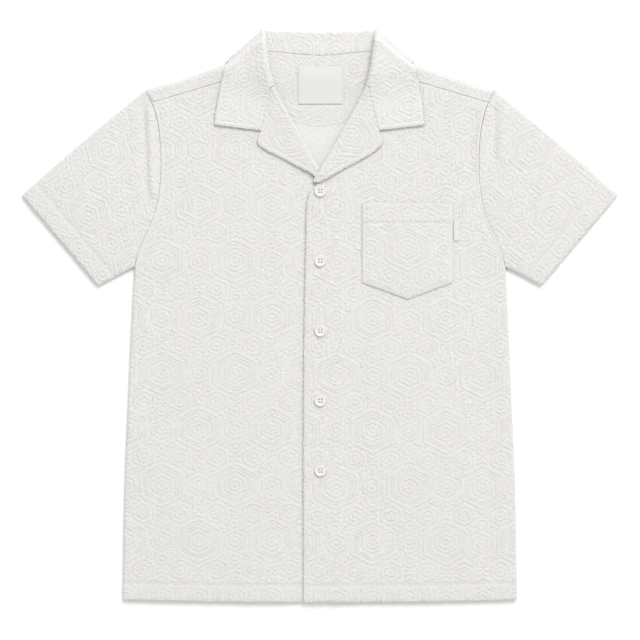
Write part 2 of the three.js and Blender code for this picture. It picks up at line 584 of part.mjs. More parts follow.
function lapel(side) {
  const table = [...LAPEL_ROWS, ...(side > 0 ? OVER_LAPEL_END : UNDER_LAPEL_END)];
  const rows = table.map((r, i) => {
    const shift = side * LOWER_EDGE_SHIFT * ease((i - 2) / 2) * ease((9 - i) / 2);
    const roll = { x: r.rollX, y: r.rollY };
    return foldSection(side, { turn: 180, neck: neckPoint(180, r.neck), roll, edge: { x: r.edgeX, y: r.edgeY - shift } });
  });
  return wallOf(side > 0 ? rows : rows.reverse(), DOUBLED);
}

// A patch that lies on a panel: its points are the panel's own, moved out by the two half walls and the seam space
const restOn = (panelMid, wall, extra = 0) => panelMid + CLOTH / 2 + SEAM + wall / 2 + extra;

function pocket() {
  const { left, right, top, side, tip, wall, belly } = POCKET;
  const middle = (left + right) / 2;
  const bottom = (x) => mix(tip, side, Math.abs(x - middle) / ((right - left) / 2));
  const rows = steps(6).map((v) =>
    steps(8).map((u) => {
      const x = mix(left, right, u);
      const y = mix(bottom(x), top, v);
      const slack = belly * Math.sin(Math.PI * u) * Math.sin((Math.PI * Math.min(1, v * 1.1)) / 1.4);
      return [x, y, restOn(frontMid(1, x, y), wall, slack)];
    }),
  );
  return wallOf(rows, wall);
}

function patch(left, right, bottom, top, wall, midAt, columns, rowCount) {
  const rows = steps(rowCount, bottom, top).map((y) => steps(columns, left, right).map((x) => [x, y, restOn(midAt(x, y), wall)]));
  return wallOf(rows, wall);
}

// Button: a turned disc with a raised rim and four holes
const wasm = await Module();
wasm.setup();
function solidOf(geometry) {
  const bare = geometry.clone();
  bare.deleteAttribute("normal");
  bare.deleteAttribute("uv");
  const merged = mergeVertices(bare, 1e-4);
  return new wasm.Manifold(new wasm.Mesh({ numProp: 3, vertProperties: merged.attributes.position.array, triVerts: new Uint32Array(merged.index.array) }));
}
function buttonGeometry() {
  const { radius, height, holeRadius, holeOffset } = BUTTON;
  const profile = [
    [0, 0],
    [radius * 0.72, 0],
    [radius, height * 0.45],
    [radius * 0.93, height],
    [radius * 0.76, height],
    [radius * 0.66, height * 0.72],
    [0, height * 0.72],
  ].map(([x, y]) => new THREE.Vector2(x, y));
  const disc = new THREE.LatheGeometry(profile, 16).rotateX(Math.PI / 2);
  let solid = solidOf(disc);
  for (const sx of [-1, 1]) {
    for (const sy of [-1, 1]) {
      const hole = new THREE.CylinderGeometry(holeRadius, holeRadius, height * 2, 6).rotateX(Math.PI / 2);
      solid = solid.subtract(solidOf(hole.translate(sx * holeOffset, sy * holeOffset, height / 2)));
    }
  }
  const mesh = solid.getMesh();
  return new THREE.BufferGeometry()
    .setAttribute("position", new THREE.BufferAttribute(new Float32Array(mesh.vertProperties), 3))
    .setIndex(new THREE.BufferAttribute(mesh.triVerts, 1));
}

// Materials
const terry = new THREE.MeshStandardMaterial({ color: 0xe9e9e6, roughness: 0.95, metalness: 0 });
const woven = new THREE.MeshStandardMaterial({ color: 0xe6e5e1, roughness: 0.7, metalness: 0 });
const horn = new THREE.MeshStandardMaterial({ color: 0xf1efe6, roughness: 0.35, metalness: 0 });

const shirt = new THREE.Group();
shirt.name = "terry_camp_shirt";
const add = (name, geometry, material) => {
  const mesh = new THREE.Mesh(geometry, material);
  mesh.name = name;
  shirt.add(mesh);
  return mesh;
};

add("back_panel", backPanel(), terry);
add("yoke", yoke(), terry);
add("front_left", frontPanel(1), terry);
add("front_right", frontPanel(-1), terry);
add("sleeve_left", sleeve(1), terry);
add("sleeve_right", sleeve(-1), terry);
add("collar", collar(), terry);
add("lapel_left", lapel(1), terry);
add("lapel_right", lapel(-1), terry);
add("pocket", pocket(), terry);
const { left: tabLeft, right: tabRight, bottom: tabBottom, top: tabTop, wall: tabWall } = POCKET_TAB;
const onFront = (x, y) => frontMid(1, x, y);
add("pocket_tab", patch(tabLeft, tabRight, tabBottom, tabTop, tabWall, onFront, 2, 3), woven);
const { halfWidth, bottom: labelBottom, top: labelTop, wall: labelWall } = NECK_LABEL;
add("neck_label", patch(-halfWidth, halfWidth, labelBottom, labelTop, labelWall, backMid, 4, 6), woven);
const button = buttonGeometry();
for (let i = 0; i < BUTTON.count; i += 1) {
  const y = BUTTON.topY - i * BUTTON.pitch;
  const z = frontMid(1, BUTTON.x, y) + CLOTH / 2 + SEAM;
  add(`button_${i + 1}`, button, horn).position.set(BUTTON.x, y, z);
}

export default shirt;
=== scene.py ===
"""A terry camp shirt, buttoned and laid flat on its back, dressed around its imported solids.

Lengths inside the shape functions are in millimetres, in the part's own frame: the floor is z = 0, +Y runs
to the collar and +X to the wearer's left side. Meshes are written in metres.
"""

import json

import bpy
import numpy as np
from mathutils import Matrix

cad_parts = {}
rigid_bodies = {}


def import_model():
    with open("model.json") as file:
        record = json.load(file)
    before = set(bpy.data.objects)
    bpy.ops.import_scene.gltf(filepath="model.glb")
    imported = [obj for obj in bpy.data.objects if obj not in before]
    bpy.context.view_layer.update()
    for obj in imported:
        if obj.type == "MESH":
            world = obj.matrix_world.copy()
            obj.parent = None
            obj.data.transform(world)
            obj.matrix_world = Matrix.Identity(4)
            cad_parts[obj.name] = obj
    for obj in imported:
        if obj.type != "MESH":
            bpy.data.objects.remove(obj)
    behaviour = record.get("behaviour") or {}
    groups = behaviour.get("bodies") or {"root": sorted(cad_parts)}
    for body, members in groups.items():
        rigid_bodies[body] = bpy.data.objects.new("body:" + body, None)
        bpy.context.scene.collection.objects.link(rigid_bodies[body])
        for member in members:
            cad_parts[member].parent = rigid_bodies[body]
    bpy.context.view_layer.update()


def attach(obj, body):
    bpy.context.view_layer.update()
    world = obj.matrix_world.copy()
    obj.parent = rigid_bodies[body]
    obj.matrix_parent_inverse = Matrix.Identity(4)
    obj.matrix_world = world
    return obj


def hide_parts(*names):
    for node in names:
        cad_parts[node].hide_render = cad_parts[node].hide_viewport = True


bl_info = {
    "name": "Terry Camp Shirt",
    "version": (1, 0, 0),
    "blender": (4, 5, 0),
    "location": "3D View > Sidebar > Shirt",
    "description": "Dresses the packed solids of a terry camp shirt",
    "category": "Object",
}

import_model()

# Cloth and its layers, as in the solids
CLOTH = 2.4
DOUBLED = 2.8
FRONT_MID = 6.0
FOLD_RADIUS = 2.4
FOLD_INSET = 3.6
LABEL_WALL = 1.0

# Outline of the body for x > 0
HEM_CENTRE_Y = -371.0
HEM_CORNER_Y = -367.6
UNDERARM_Y = 62.7
TIP_X, TIP_Y = 227.5, 291.5
NECK_X, NECK_Y = 82.0, 341.0
SIDE_SEAM = [(-371, 256.1), (-207, 252.9), (-110, 248.8), (-6, 244.4), (62.7, 240.5)]
ARMHOLE = [
    (62.7, 240.5), (83.5, 235.2), (101, 227.8), (120, 219.3), (142, 211.9), (169, 207.7),
    (202, 206.3), (228, 207.6), (254, 211.6), (276, 218.8), (291.5, 227.5),
]
NECK_SEAM_BACK = [(0, 337), (27, 338.6), (50, 340.8), (70, 342), (82, 341)]
NECK_SEAM_FRONT = [
    (341, 80.8), (330, 83.8), (316, 82), (303, 77), (291, 70), (262, 54.7), (230, 36.6), (197, 17.5),
    (184.5, 8.6), (174, 0), (164, -9.6), (156, -14.2), (146, -16), (100, -17.6), (0, -19.6), (-371, -21),
]
UNDER_EDGE = [(191.5, 14), (189, 6), (186.4, -3), (178, -13), (166, -19), (152, -21)]
ROLL_LINE = [
    (366, 71.5), (342, 67.6), (319, 64.5), (296.5, 58.5), (263, 41.6), (247, 32), (225, 19.8),
    (203, 7.5), (190, -0.5), (179, -5), (171, -11),
]
COLLAR_BACK_EDGE = [(0, 318), (40, 318.4), (80, 320.4), (104, 323.6), (124, 327)]
YOKE_TOP_Y = 275.2
BACK_TOP_Y = 262.5

# Soft folds: a ridge or trough along a line, as x0, y0, x1, y1, width, height
FOLDS = [
    (-229, 266, -225, 165, 5, -1.4), (-221, 262, -216.5, 160, 4.6, 2.8), (-240, 256, -237, 180, 9, 1.0),
    (227, 264, 225, 206, 5, -2.1), (210, 262, 207, 200, 6, 1.5), (240, 262, 236, 208, 7, 1.6),
    (195, 262, 193, 200, 7, -1), (214, 40, 222, -330, 14, -0.9),
    (-120, 120, -170, -250, 60, 0.9), (110, -40, 150, -300, 60, 0.9), (-60, -120, -90, -330, 40, 0.8),
]

# Collar rows: turn, neck, inset, roll x and y, edge x and y, square. Those without an edge follow the fall
# round the shoulder.
COLLAR_ROWS = [
    (0, 0, 0.9, 0, 368.2, 0, 318, 0),
    (0, 14, 0.9, 14, 368.4, 21, 318, 0),
    (0, 28, 0.9, 28, 368.8, 42, 318.4, 0),
    (0, 42, 0.9, 41.6, 369.3, 63, 319.3, 0),
    (0, 56, 0.9, 54, 369.8, 86, 321, 0),
    (0, 70, 0.9, 64.5, 370.2, 107, 323.8, 0),
    (0, 77.3, 0.9, 69, 370.4, None, None, 0),
    (45, 79.1, 0.9, 70.8, 370.4, None, None, 0),
    (90, 79.9, 0.9, 71.6, 370.2, None, None, 0),
    (135, 340.6, 1.8, 70.9, 367.4, None, None, 0.25),
    (162, 339.6, 2.9, 70, 364, None, None, 0.45),
    (180, 334.5, 3.6, 69.6, 355.4, 123, 318.4, 1),
    (180, 329, 3.5, 68, 345.6, 127, 305, 1),
    (180, 322, 1.6, 66.4, 333, 129.2, 294, 1),
    (180, 312, 0.9, 63.8, 317, 131.6, 281, 1),
    (180, 302, 0.9, 61, 305, 133.4, 271.4, 1),
    (180, 294, 0.9, 58.8, 297.2, 134.6, 263.6, 1),
]
# Gorge rows: x and y at the roll and at the leaf's edge
GORGE = [(66.3, 279, 135.2, 259), (71.4, 261, 135.6, 253), (76.3, 240, 135.9, 247.4)]
# Lapel rows: neck y, roll x and y, edge x and y
LAPEL_ROWS = [
    (293.6, 58.5, 296.8, 76.5, 239.4), (278, 51.2, 281.6, 79.3, 232.6), (262, 43.8, 267.2, 80.6, 223.6),
    (246, 35.4, 252.4, 71.5, 214.6), (230, 26.3, 236.6, 56, 206), (213.6, 16.8, 219.6, 40, 197.4),
]
OVER_LAPEL_END = [
    (197.4, 7.6, 203.2, 24, 189), (185, -0.4, 190.4, 11.6, 181),
    (178, -5.4, 181.8, 3.4, 176.2), (172.4, -10.2, 174.6, -3, 171.8),
]
UNDER_LAPEL_END = [
    (201, 9.4, 206, 24, 189), (194.4, 4.6, 198, 14, 184.4),
    (191.2, 1.2, 192.6, 7.6, 181), (189.8, -1.4, 189.8, 3.4, 178.4),
]

CUFF_TOP = (385.8, 157.2)
CUFF_BOTTOM = (286.0, 38.8)
SLEEVE_GRAIN = np.radians(49.9)
GRAIN_LEFT, GRAIN_RIGHT = (68.4, -5.7), (-62.4, -2.3)
POCKET = {"left": 55.0, "right": 171.8, "top": 145.5, "side": 42.6, "tip": 21.2, "wall": 2.2}
TAB = {"left": 173.4, "right": 180.4, "top": 121.6, "bottom": 96.4}
LABEL = {"half": 28.4, "top": 322.6, "bottom": 274.4}
BUTTON_X, BUTTON_TOP_Y, BUTTON_PITCH, BUTTON_COUNT = 0.4, 160.9, 90.6, 5

# Button: the rings of its face, radius and height along face and back, its spokes, holes and thread
BUTTON_RINGS = [
    0.0, 0.5, 0.9, 1.2, 1.5, 1.8, 2.1, 2.35, 2.6, 2.85, 3.1, 3.35, 3.7, 4.2, 4.7, 5.1, 5.5, 5.9, 6.3, 6.7,
    7.0, 7.25, 7.42, 7.5,
]
BUTTON_FACE = [
    (0, 2.2), (4.2, 2.2), (4.9, 2.3), (5.5, 2.75), (6.1, 3.0), (6.7, 2.98), (7.2, 2.6), (7.42, 2.1),
    (7.5, 1.6),
]
BUTTON_BACK = [(7.4, 1.2), (6.6, 0.6), (5.4, 0.12), (4.0, 0.05), (2.5, 0.02), (1.2, 0.0), (0.0, 0.0)]
BUTTON_SPOKES = 96
HOLE_OFF, HOLE_RADIUS, HOLE_DEPTH = 1.75, 1.02, 1.6
TUBE = np.radians(np.arange(8) * 45.0)

# Hems, rows of stitches and pressed seams, as distances from the border they follow
HEM_DEPTH, CUFF_DEPTH, HEM_ROW_OFF = 20, 22, 1.4
BACK_SEAM_ROW, FRONT_SEAM_ROW, ARMHOLE_ROW, FREE_EDGE_ROW = 3.2, 2.6, 4.6, 6.5
LEAF_ROW, LEAF_END_ROW, GORGE_ROW = 5.2, 5.0, 4.0
POCKET_ROW, POCKET_HEM_ROW, LABEL_ROW = 3.6, 25.5, 2.0
PRESSED = 5.4

# Relief: its repeat, the heights of the smallest hexagons and the edges of its raised bands
REPEAT_U, REPEAT_V = 95.0, 145.0
TINY_HIGH, TINY_LOW = 48.3, 24.2
MEDALLION_BANDS = (2.2, 5.2, 8.0, 10.8, 13.6, 17.0, 19.8)
CHEVRON_BANDS = (23.0, 25.6, 29.2, 31.8, 35.4, 38.0, 41.6, 44.2)
SMALL_BANDS = (2.6, 5.4, 8.0, 11.4, 13.6)
TINY_BANDS = (2.4, 5.6, 7.8)
BAND_SLOPE = 1.7

# Grid: columns over each shoulder and between the neck points, rows of the yoke's back, parts of a fold
SHOULDER_COLS, NECK_COLS, YOKE_BACK_ROWS = 72, 80, 36
STAND_PARTS, HINGE_PARTS, ROLL_PARTS, LEAF_PARTS = 16, 8, 12, 36
UNDER_PARTS = STAND_PARTS + ROLL_PARTS

# Heights where the armhole's seam and its stitches begin, and where the free edge's go under the lapel
ARMHOLE_SEAM_Y, ARMHOLE_STITCH_Y, EDGE_STITCH_Y, EDGE_PILE_Y = 66, 70, 168, 172

# Floor in millimetres, and the light's and camera's sizes and places in metres and degrees
FLOOR_HALF, FLOOR_Z = 9000.0, -0.2
KEY_SIZE, KEY_PLACE, KEY_TILT = 5.0, (2.05, 5.17, 6.29), (-38, 18, 0)
CAMERA_Y = -0.0062
SENSOR = 36


# Plain helpers
def mix(a, b, f):
    return a + (b - a) * f


def xyz(x, y, z):
    return np.stack(np.broadcast_arrays(x, y, z), axis=-1)


def ease(f):
    """0 to 1 with level ends: 3f^2 - 2f^3 of f held between 0 and 1."""
    c = np.clip(f, 0, 1)
    return c * c * (3 - 2 * c)


def through(keys, values):
    """A smooth curve through values at rising keys: a cubic between each two, whose slopes are the secants
    weighted by the other gap, held level past both ends. values may be points or whole rows of points."""
    k = np.asarray(keys, float)
    v = np.asarray(values, float)
    wide = (slice(None),) + (None,) * (v.ndim - 1)
    gap = np.diff(k)[wide]
    secant = np.diff(v, axis=0) / gap
    slope = np.empty_like(v)
    slope[0], slope[-1] = secant[0], secant[-1]
    slope[1:-1] = (secant[:-1] * gap[1:] + secant[1:] * gap[:-1]) / (gap[1:] + gap[:-1])

    def at(key):
        a = np.clip(key, k[0], k[-1])
        i = np.clip(np.searchsorted(k, a, side="right") - 1, 0, len(k) - 2)
        more = (None,) * (v.ndim - 1)
        h = (k[i + 1] - k[i])[(...,) + more]
        f = ((a - k[i]) / (k[i + 1] - k[i]))[(...,) + more]
        g = 1 - f
        ends = v[i] * g * g * (1 + 2 * f) + v[i + 1] * f * f * (3 - 2 * f)
        return ends + slope[i] * h * f * g * g - slope[i + 1] * h * f * f * g

    return at


def curve(rows):
    keys, values = zip(*sorted(rows))
    return through(keys, values)


side_x = curve(SIDE_SEAM)
armhole_x = curve(ARMHOLE)
neck_back_y = curve(NECK_SEAM_BACK)
neck_front_x = curve(NECK_SEAM_FRONT)
under_edge_x = curve(UNDER_EDGE)
roll_x = curve(ROLL_LINE)
collar_back_y = curve(COLLAR_BACK_EDGE)


def hem_y(x):
    return mix(HEM_CENTRE_Y, HEM_CORNER_Y, (x / 256) ** 2)


def yoke_back_y(x):
    """A shallow point: 244.7 in the middle, rising by 17.8 as one minus a bell 48 wide."""
    return 244.7 + 17.8 * (1 - np.exp(-((x / 48) ** 2)))


def yoke_front_y(x):
    return mix(316, 275.5, (np.abs(x) - 82) / (218.7 - 82))


def shoulder_y(x):
    f = (np.abs(x) - NECK_X) / (TIP_X - NECK_X)
    return mix(NECK_Y, TIP_Y, f) - 2.2 * np.sin(np.pi * np.clip(f, 0, 1))


def lift(x, y):
    """The rise of back and fronts over the collar's fall, eased along y and out from the middle."""
    ax = np.abs(x)
    return 3.3 * ease((y - collar_back_y(ax) + 44) / 42) * ease((152 - ax) / 28)


def folds(x, y):
    """The sum of bells across each fold's line, fading past both ends, and a slow unevenness."""
    total = 0.16 * np.sin(x / 31 + 0.7) * np.sin(y / 43 + 1.9) + 0.12 * np.sin((x + y) / 24)
    for x0, y0, x1, y1, width, height in FOLDS:
        dx, dy = x1 - x0, y1 - y0
        length = np.hypot(dx, dy)
        along = ((x - x0) * dx + (y - y0) * dy) / length
        across = ((x - x0) * dy - (y - y0) * dx) / length
        past = np.maximum(0, np.maximum(-along, along - length))
        total = total + height * np.exp(-((across / width) ** 2) - (past / (width * 1.6)) ** 2)
    return total


def back_mid(x, y):
    return CLOTH / 2 + lift(x, y)


def upper_mid(x, y):
    return FRONT_MID + lift(x, y) + folds(x, y)


def front_mid(side, x, y):
    """The mid height of a front: side 1 laps over and steps up at the overlap, and -1 steps down."""
    return upper_mid(x, y) + side * 1.4 * ease((54 - side * x) / 32)


def leaf_mid(side, x, y):
    """The mid height of a leaf of the collar or a lapel: above its front by both half walls and 0.5, higher
    at its roll, and with a crown where it goes over the shoulder."""
    from_roll = (side * x - roll_x(y)) * 0.88
    standing = (2.3 + 5.2 * ease((y - 268) / 62)) * (1 - ease(from_roll / 32))
    crown = 1.3 * np.exp(-(((side * x - 112) / 26) ** 2) - ((y - 321) / np.where(y < 321, 24, 10)) ** 2)
    return front_mid(side, x, y) + CLOTH / 2 + 0.5 + DOUBLED / 2 + standing + crown


def spread(count, length, rim=(0.7, 1.4), ends=(True, True)):
    """count + 1 shares from 0 to 1, closer together at the ends, where the cloth's rim is rounded."""
    low = np.cumsum((0,) + rim) / length if ends[0] else np.zeros(1)
    high = 1 - np.cumsum((0,) + rim)[::-1] / length if ends[1] else np.ones(1)
    between = np.linspace(low[-1], high[0], count + 3 - len(low) - len(high))
    return np.concatenate([low[:-1], between, high[1:]])


# The share of the full wall at the three outermost lines of a border, by how it is finished
RIMS = {
    "free": (0.42, 0.8, 0.96), "seam": (0.98, 1.0, 1.0),
    "flush": (0.68, 0.84, 0.96), "joined": (1.0, 1.0, 1.0),
}


def rim_share(count, first, last):
    """The share of the full wall at each grid line: thin on a free border, nearly full on a sewn one."""
    share = np.ones(count)
    share[:3] = RIMS[first]
    share[-3:] = RIMS[last][::-1]
    return share


# The relief. Its formulas take arrays for the meshes and node values for the materials.
def both_ways(operation, of_arrays):
    """A step of a formula that works on arrays and on node values alike."""

    def step(*values):
        node_value = isinstance(values[0], Value)
        return values[0].math(operation, *values) if node_value else of_arrays(*values)

    return step


absolute, nearest_whole = both_ways("ABSOLUTE", np.abs), both_ways("ROUND", np.round)
larger, smaller = both_ways("MAXIMUM", np.maximum), both_ways("MINIMUM", np.minimum)


def step_up(v, at, soft):
    """0 below at and 1 above it, eased over a width of soft."""
    if not isinstance(v, Value):
        return ease((v - at) / soft + 0.5)
    limits = {"Value": v, "From Min": at - soft / 2, "From Max": at + soft / 2}
    return v.recipe.node("ShaderNodeMapRange", {"interpolation_type": "SMOOTHSTEP"}, limits)


def bands(reach, edges, soft):
    """1 inside the first edge, 0 up to the second, 1 up to the third and so on: raised concentric bands."""
    total = 1.0
    for i, edge in enumerate(edges):
        step = step_up(reach, edge, soft)
        total = total - step if i % 2 == 0 else total + step
    return total


def hexagonal(a, b):
    """Distance in a hexagon with upright sides, for a and b at or above 0."""
    return larger(a, a * 0.5 + b * 0.983)


def hexagon_relief(u, v, soft):
    """Raised bands from 0 to 1 at the cloth's own u and v in millimetres. Large medallions stand 95 apart in
    rows 72.5 apart, every other row moved by half, with chevron bands round them. Small hexagons lie half
    way between each two, and tiny ones between each three. Both are first folded into a quarter repeat."""
    a = absolute(u - nearest_whole(u / REPEAT_U) * REPEAT_U)
    b = absolute(v - nearest_whole(v / REPEAT_V) * REPEAT_V)
    far_a, far_b = REPEAT_U / 2 - a, REPEAT_V / 2 - b
    large = smaller(hexagonal(a, b), hexagonal(far_a, far_b))
    small = smaller(hexagonal(far_a, b), hexagonal(a, far_b))
    small = smaller(small, hexagonal(absolute(a - REPEAT_U / 4), absolute(b - REPEAT_V / 4)))
    tiny = smaller(hexagonal(a, absolute(b - TINY_HIGH)), hexagonal(far_a, absolute(b - TINY_LOW)))
    chevrons = bands(large, CHEVRON_BANDS, soft) * step_up(large, 21.4, 1.0)
    chevrons = chevrons * step_up(small, 17.2, soft) * step_up(tiny, 10.6, soft)
    raised = larger(chevrons, bands(large, MEDALLION_BANDS, soft) * (1.0 - step_up(large, 21.0, 1.0)))
    raised = larger(raised, bands(tiny, TINY_BANDS, soft) * (1.0 - step_up(tiny, 9.0, 1.0)))
    return larger(raised, bands(small, SMALL_BANDS, soft) * (1.0 - step_up(small, 15.0, 1.0)))


def grain_at(x, y, origin, turn=0.0):
    """The cloth's own u and v at plan points: moved to an origin and turned."""
    px, py = x - origin[0], y - origin[1]
    return px * np.cos(turn) + py * np.sin(turn), py * np.cos(turn) - px * np.sin(turn)


# Grids and walls
def unit(v):
    """v at a length of 1, along its last axis."""
    return v / np.maximum(np.linalg.norm(v, axis=-1, keepdims=True), 1e-9)


def quads_of(ids, closed=False):
    """The four corners of each cell of a grid of points, anticlockwise seen from its outer side. In a closed
    grid the last column is joined to the first."""
    right = np.roll(ids, -1, axis=1) if closed else ids[:, 1:]
    left = ids if closed else ids[:, :-1]
    return np.stack([left[:-1], right[:-1], right[1:], left[1:]], axis=-1)


def normals_of(points, quads):
    """Unit normals: at each point the sum of its cells' diagonals' cross products."""
    flat = points.reshape(-1, 3)
    cells = quads.reshape(-1, 4)
    cross = np.cross(flat[cells[:, 2]] - flat[cells[:, 0]], flat[cells[:, 3]] - flat[cells[:, 1]])
    total = np.zeros_like(flat)
    for corner in range(4):
        for axis in range(3):
            total[:, axis] += np.bincount(cells[:, corner], cross[:, axis], len(flat))
    return unit(total).reshape(points.shape)


def part_of(line, keep):
    """The kept points of a line and of its directions. keep is a slice or a mask."""
    return tuple(each[keep] for each in line)


class Sheet:
    """A mid surface on a grid of points, with its normals and the cells of the grid that are kept."""

    def __init__(self, mid, kept=None, closed=False):
        self.mid = mid
        self.closed = closed
        self.ids = np.arange(mid[..., 0].size).reshape(mid.shape[:2])
        self.cells = quads_of(self.ids, closed)
        self.kept = np.ones(self.cells.shape[:2], bool) if kept is None else kept
        self.normals = normals_of(mid, self.cells[self.kept])

    @property
    def plan(self):
        """x and y of every point."""
        return self.mid[..., 0], self.mid[..., 1]

    def share(self, rows, cols):
        """The share of the full wall at each point, from how the rows' and the columns' borders are sewn."""
        first, second = self.mid.shape[:2]
        return rim_share(first, *rows)[:, None] * rim_share(second, *cols)[None, :]

    def rim(self, axis, from_end=False):
        """The rim at one border, as a line with outward directions in the sheet's own plane."""
        mid = self.mid.swapaxes(0, axis)
        mid = mid[::-1] if from_end else mid
        return mid[0], mid[0] - mid[2]

    def run(self, axis, from_end=False):
        """How far each point is along the grid from its first line, or from its last."""
        step = np.linalg.norm(np.diff(self.mid, axis=axis), axis=2)
        start = np.zeros_like(np.take(step, [0], axis=axis))
        run = np.concatenate([start, np.cumsum(step, axis=axis)], axis=axis)
        return np.take(run, [-1], axis=axis) - run if from_end else run

    def line(self, axis, distance, from_end=False, over=CLOTH / 2, keep=slice(None)):
        """The line on the outer side that keeps this distance from a border, with the surface's normals."""
        way = -1 if from_end else 1
        fields = self.mid, self.normals, self.run(axis, from_end)
        mid, normals, run = (each.swapaxes(1, axis)[:, ::way] for each in fields)
        rows = np.arange(len(mid))
        i = np.clip((run < distance).sum(axis=1) - 1, 0, run.shape[1] - 2)
        f = ((distance - run[rows, i]) / (run[rows, i + 1] - run[rows, i]))[:, None]
        normal = mix(normals[rows, i], normals[rows, i + 1], f)
        return part_of((mix(mid[rows, i], mid[rows, i + 1], f) + normal * over, normal), keep)

    def wall(self, over, under, stride=4):
        """Points and faces of the closed wall. The outer side uses every point of the grid, moved out by
        over, and the inner side every stride-th one, moved in by under. Triangles join their borders."""
        rows, cols = self.mid.shape[:2]
        count = rows * cols
        flat, normal = self.mid.reshape(-1, 3), self.normals.reshape(-1, 3)
        outer = flat + normal * np.broadcast_to(over, (rows, cols)).reshape(-1, 1)
        inner = flat - normal * np.broadcast_to(under, (rows, cols)).reshape(-1, 1)
        top = self.cells[self.kept]
        blocks = self.kept.reshape((rows - 1) // stride, stride, -1, stride).all(axis=(1, 3))
        coarse = quads_of(self.ids[::stride, ::stride], self.closed)
        bottom = coarse[blocks][:, [0, 3, 2, 1]] + count
        edges = np.concatenate([top[:, [k, (k + 1) % 4]] for k in range(4)])
        forward = edges[:, 0] * count + edges[:, 1]
        backward = edges[:, 1] * count + edges[:, 0]
        start, end = edges[~np.isin(forward, backward)].T

        def partner(vertex):
            r, c = np.divmod(vertex, cols)
            r = np.floor(r / stride + 0.5).astype(int) * stride
            c = np.floor(c / stride + 0.5).astype(int) * stride
            return r * cols + (c % cols if self.closed else c) + count

        below_start, below_end = partner(start), partner(end)
        apart = below_start != below_end
        rim = np.concatenate([
            np.stack([end, start, below_start], axis=1),
            np.stack([end, below_start, below_end], axis=1)[apart],
        ])
        return np.concatenate([outer, inner]), [top, bottom, rim]


def write_mesh(name, points, faces, materials, groups=None, fields=None, smooth=True):
    """A mesh object in metres. Points that no face uses are dropped. groups is a material number for each
    array of faces, and fields are numbers kept at each point for the materials."""
    used = np.unique(np.concatenate([f.ravel() for f in faces]))
    place = np.zeros(len(points), np.int32)
    place[used] = np.arange(len(used))
    loops = np.concatenate([place[f].ravel() for f in faces]).astype(np.int32)
    sizes = np.concatenate([np.full(len(f), f.shape[1]) for f in faces])
    mesh = bpy.data.meshes.new(name)
    mesh.vertices.add(len(used))
    mesh.vertices.foreach_set("co", (points[used] * 0.001).astype(np.float32).ravel())
    mesh.loops.add(len(loops))
    mesh.loops.foreach_set("vertex_index", loops)
    mesh.polygons.add(len(sizes))
    starts = np.concatenate([[0], np.cumsum(sizes)[:-1]]).astype(np.int32)
    mesh.polygons.foreach_set("loop_start", starts)
    for material in materials:
        mesh.materials.append(material)
    if groups:
        numbers = np.concatenate([np.full(len(f), g) for f, g in zip(faces, groups)]).astype(np.int32)
        mesh.polygons.foreach_set("material_index", numbers)
    mesh.update(calc_edges=True)
    if mesh.validate():
        raise RuntimeError(f"{name} had faces that aren't valid")
    mesh.polygons.foreach_set("use_smooth", np.full(len(sizes), smooth))
    for field, values in (fields or {}).items():
        attribute = mesh.attributes.new(field, "FLOAT", "POINT")
        attribute.data.foreach_set("value", np.asarray(values, np.float32).ravel()[used])
    obj = bpy.data.objects.new(name, mesh)
    bpy.context.scene.collection.objects.link(obj)
    return obj


def settle(obj, slot, *nodes):
    """The piece rides on the one body and stands for its solids; its slot is not used."""
    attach(obj, "root")
    if nodes:
        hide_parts(*nodes)
    return obj


def grain_fields(u, v, left):
    """The cloth's own u and v and how much of the relief is left, for both sides of a wall."""
    fields = {"grain_u": u, "grain_v": v, "relief_left": left}
    return {key: np.tile(value.ravel(), 2) for key, value in fields.items()}


def cloth_piece(part, sheet, grain, marks, share, wall=CLOTH, finish="terry"):
    """A cloth wall with its relief, in place of the solid of the same name. grain is the cloth's own u and v
    at each point and how much of the relief is left there, and marks are heights in millimetres for hems
    and sewn lines. The outer side is sunk a little, so that raised bands stand at its true height, and the
    rim is thinned by its share, which rounds it."""
    u, v, left = grain
    left = left * share
    height = cloth().relief * 1000
    raised = hexagon_relief(u, v, BAND_SLOPE) * left
    over = wall / 2 * share + height * (raised - 0.6 * share) + marks * share
    points, faces = sheet.wall(over, wall / 2 * share)
    fields = grain_fields(u, v, left)
    piece = write_mesh(f"shirt_{part}", points, faces, [materials()[finish]], fields=fields)
    return settle(piece, "terry", part)


def trough(run, at, width=1.3, depth=0.5):
    """A sewn line pressed into the cloth: a bell across the distance run, in millimetres."""
    return -depth * np.exp(-(((run - at) / width) ** 2))


def welt(run, at, width, height):
    """A sewn welt: a flat-topped ridge, height times a bell of the fourth power of the distance."""
    return height * np.exp(-(((run - at) / width) ** 4))


def hem(run, at):
    """A hem: two sewn lines 2.8 mm apart, pressed in, and the doubled cloth a little higher below them."""
    rows = trough(run, at - HEM_ROW_OFF, 1.1, 0.4) + trough(run, at + HEM_ROW_OFF, 1.1, 0.55)
    return rows + 0.3 * ease((at - run) / 2)


def hem_stitches(sheet, at, from_end=False):
    """The lines of a hem's two rows of stitches."""
    return [sheet.line(0, at + off, from_end, CLOTH / 2 + 0.05) for off in (-HEM_ROW_OFF, HEM_ROW_OFF)]


def armhole_seam(run):
    """The welt on the body's side of the armhole and the row of stitches that holds it."""
    return welt(run, 2.2, 1.5, 0.45) + trough(run, ARMHOLE_ROW, 0.8, 0.45)


def leaf_edge(run):
    """The turned edge of a collar or lapel and the row of stitches that holds it."""
    return trough(run, LEAF_ROW, 0.9, 0.3) + welt(run, 2.3, 2.1, 0.55)


def sewn_over(run, reach):
    """1 on the cloth pressed flat by a seam, up to this reach from it, and 0 past it."""
    return ease((reach - run) / 1.2 + 0.5)


